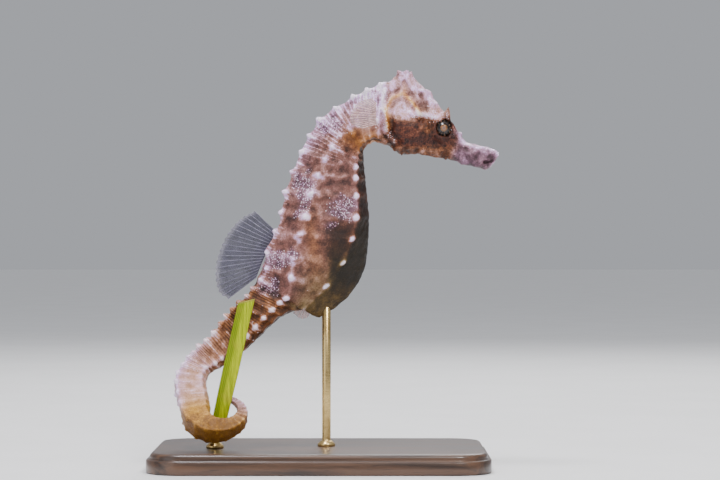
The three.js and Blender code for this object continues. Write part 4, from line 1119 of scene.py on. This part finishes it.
def buildRod(name, place, top, material):
    foot, r = stand["height"], stand["rodRadius"]
    profile = [(0.3, foot - 0.2), (2.2, foot - 0.2), (2.2, foot + 0.55), (2.12, foot + 0.75),
               (1.85, foot + 0.9), (1.75, foot + 1.1), (1.5, foot + 1.35), (r, foot + 1.42)]
    if top > foot + 2:
        profile += [(r, foot + 1.8), (r, foot + 12), (r, top - 0.2), (r * 0.8, top), (0.3, top)]
    else:
        profile += [(r * 0.9, top - 0.05), (0.3, top)]
    turn = np.linspace(0, 2 * math.pi, 48, endpoint=False)
    x, y = np.cos(turn), np.sin(turn)
    rows = [np.stack([place[0] + q * x, place[1] + q * y, np.full(48, z)], -1) for q, z in profile]
    return newTube(name, np.array(rows), material)


def woodMaterial():
    s = Shader("dark walnut")
    wavy = s.stretched((0.07, 1, 1), (0.12, 0, 0.05))
    figure = s.noise(3.2, 4, 0.6, wavy, 0.8)
    pores = s.noise(0.3, 2, 0.5, wavy)
    colour = s.mix(s.step(figure, 0.36, 0.66), (0.028, 0.013, 0.007), (0.11, 0.052, 0.026))
    colour = s.mix(s.step(pores, 0.6, 0.74) * 0.6, colour, (0.014, 0.008, 0.005))
    return s.finish({"Base Color": colour, "Roughness": 0.3 + 0.18 * figure,
                     "Normal": s.bump(pores, 0.05, 0.35), "Coat Weight": 0.4, "Coat Roughness": 0.18})


def brassMaterial():
    s = Shader("brass")
    marks = s.noise(0.35, 3, 0.6, s.stretched((0.1, 0.1, 1.6)))
    colour = s.mix(s.step(s.noise(4, 3), 0.4, 0.7), (0.72, 0.52, 0.22), (0.5, 0.34, 0.13))
    return s.finish({"Base Color": colour, "Metallic": 1.0, "Roughness": 0.2 + 0.18 * marks,
                     "Normal": s.bump(marks, 0.02, 0.3)})


wood, brass = woodMaterial(), brassMaterial()
basePiece = buildBase(wood)
for polygon in basePiece.data.polygons:
    polygon.use_smooth = abs(polygon.normal.z) < 0.999
bodyRod = buildRod("body_rod", stand["bodyRod"], stand["bodyRodTop"], brass)
leafRod = buildRod("leaf_socket", stand["leafRod"], stand["leafRodTop"], brass)
print("stand built")


# Each piece hangs from the body's root and hides the frame parts it stands for
def stands(piece, slot, *nodes):
    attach(piece, "root")
    if nodes:
        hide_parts(*nodes)


stands(skinPiece, "skin", *flesh)
stands(papillaPiece, "skin")
for node, piece in eyes.items():
    stands(piece, "eye", node)
for node, (web, rays) in finPieces.items():
    stands(web, "fin", node)
    stands(rays, "fin")
stands(leafPiece, "leaf", "seagrass_leaf")
stands(basePiece, "base", "stand_base")
stands(bodyRod, "rod", "stand_rod_body")
stands(leafRod, "rod", "stand_rod_leaf")

# Floor, light and camera
studio = {
    "distance": 0.6, "frameWidth": 0.18, "aim": (0.010, 0.0565), "floor": 8.0, "sky": 0.35, "world": 0.45,
    "middle": (0.005, 0, 0.055),
    # [place, size, power, colour] of the soft lamps
    "lamps": {"key": ((0.2, -0.42, 0.5), 0.16, 3.0, (1, 0.98, 0.95)),
              "top": ((-0.12, -0.08, 0.6), 0.14, 2.6, (0.96, 0.94, 1)),
              "fill": ((-0.45, -0.4, 0.2), 0.45, 0.7, (0.93, 0.96, 1)),
              "rim": ((0.1, 0.45, 0.42), 0.3, 2.0, (1, 1, 1))},
}


def paleMaterial():
    s = Shader("pale floor")
    colour = s.mix(s.step(s.noise(40, 2), 0.4, 0.6), (0.86, 0.86, 0.86), (0.84, 0.84, 0.84))
    return s.finish({"Base Color": colour, "Roughness": 0.7})


def buildStudio():
    half = studio["floor"] / 2 / mm
    floor = newPiece("floor", [(-half, -half, 0), (half, -half, 0), (half, half, 0), (-half, half, 0)],
                     [[0, 1, 2, 3]], paleMaterial())
    for name, (place, size, power, colour) in studio["lamps"].items():
        lamp = add(name, bpy.data.lights.new(name, "AREA"), place)
        lamp.data.size, lamp.data.energy, lamp.data.color = size, power, colour
        lamp.rotation_euler = (Vector(studio["middle"]) - Vector(place)).to_track_quat("-Z", "Y").to_euler()
    sky = add("sky", bpy.data.lights.new("sky", "SUN"))
    sky.data.energy, sky.data.angle = studio["sky"], 1.5
    world = bpy.data.worlds.new("studio")
    world.use_nodes = True
    colour, strength = world.node_tree.nodes["Background"].inputs[:2]
    colour.default_value, strength.default_value = (0.9, 0.93, 1.0, 1), studio["world"]
    bpy.context.scene.world = world
    aimX, aimZ = studio["aim"]
    camera = add("camera", bpy.data.cameras.new("camera"), (aimX, -studio["distance"], aimZ))
    camera.data.sensor_width = 36
    camera.data.lens = 36 * studio["distance"] / studio["frameWidth"]
    camera.rotation_euler = (math.pi / 2, 0, 0)
    bpy.context.scene.camera = camera


buildStudio()
print("studio built")
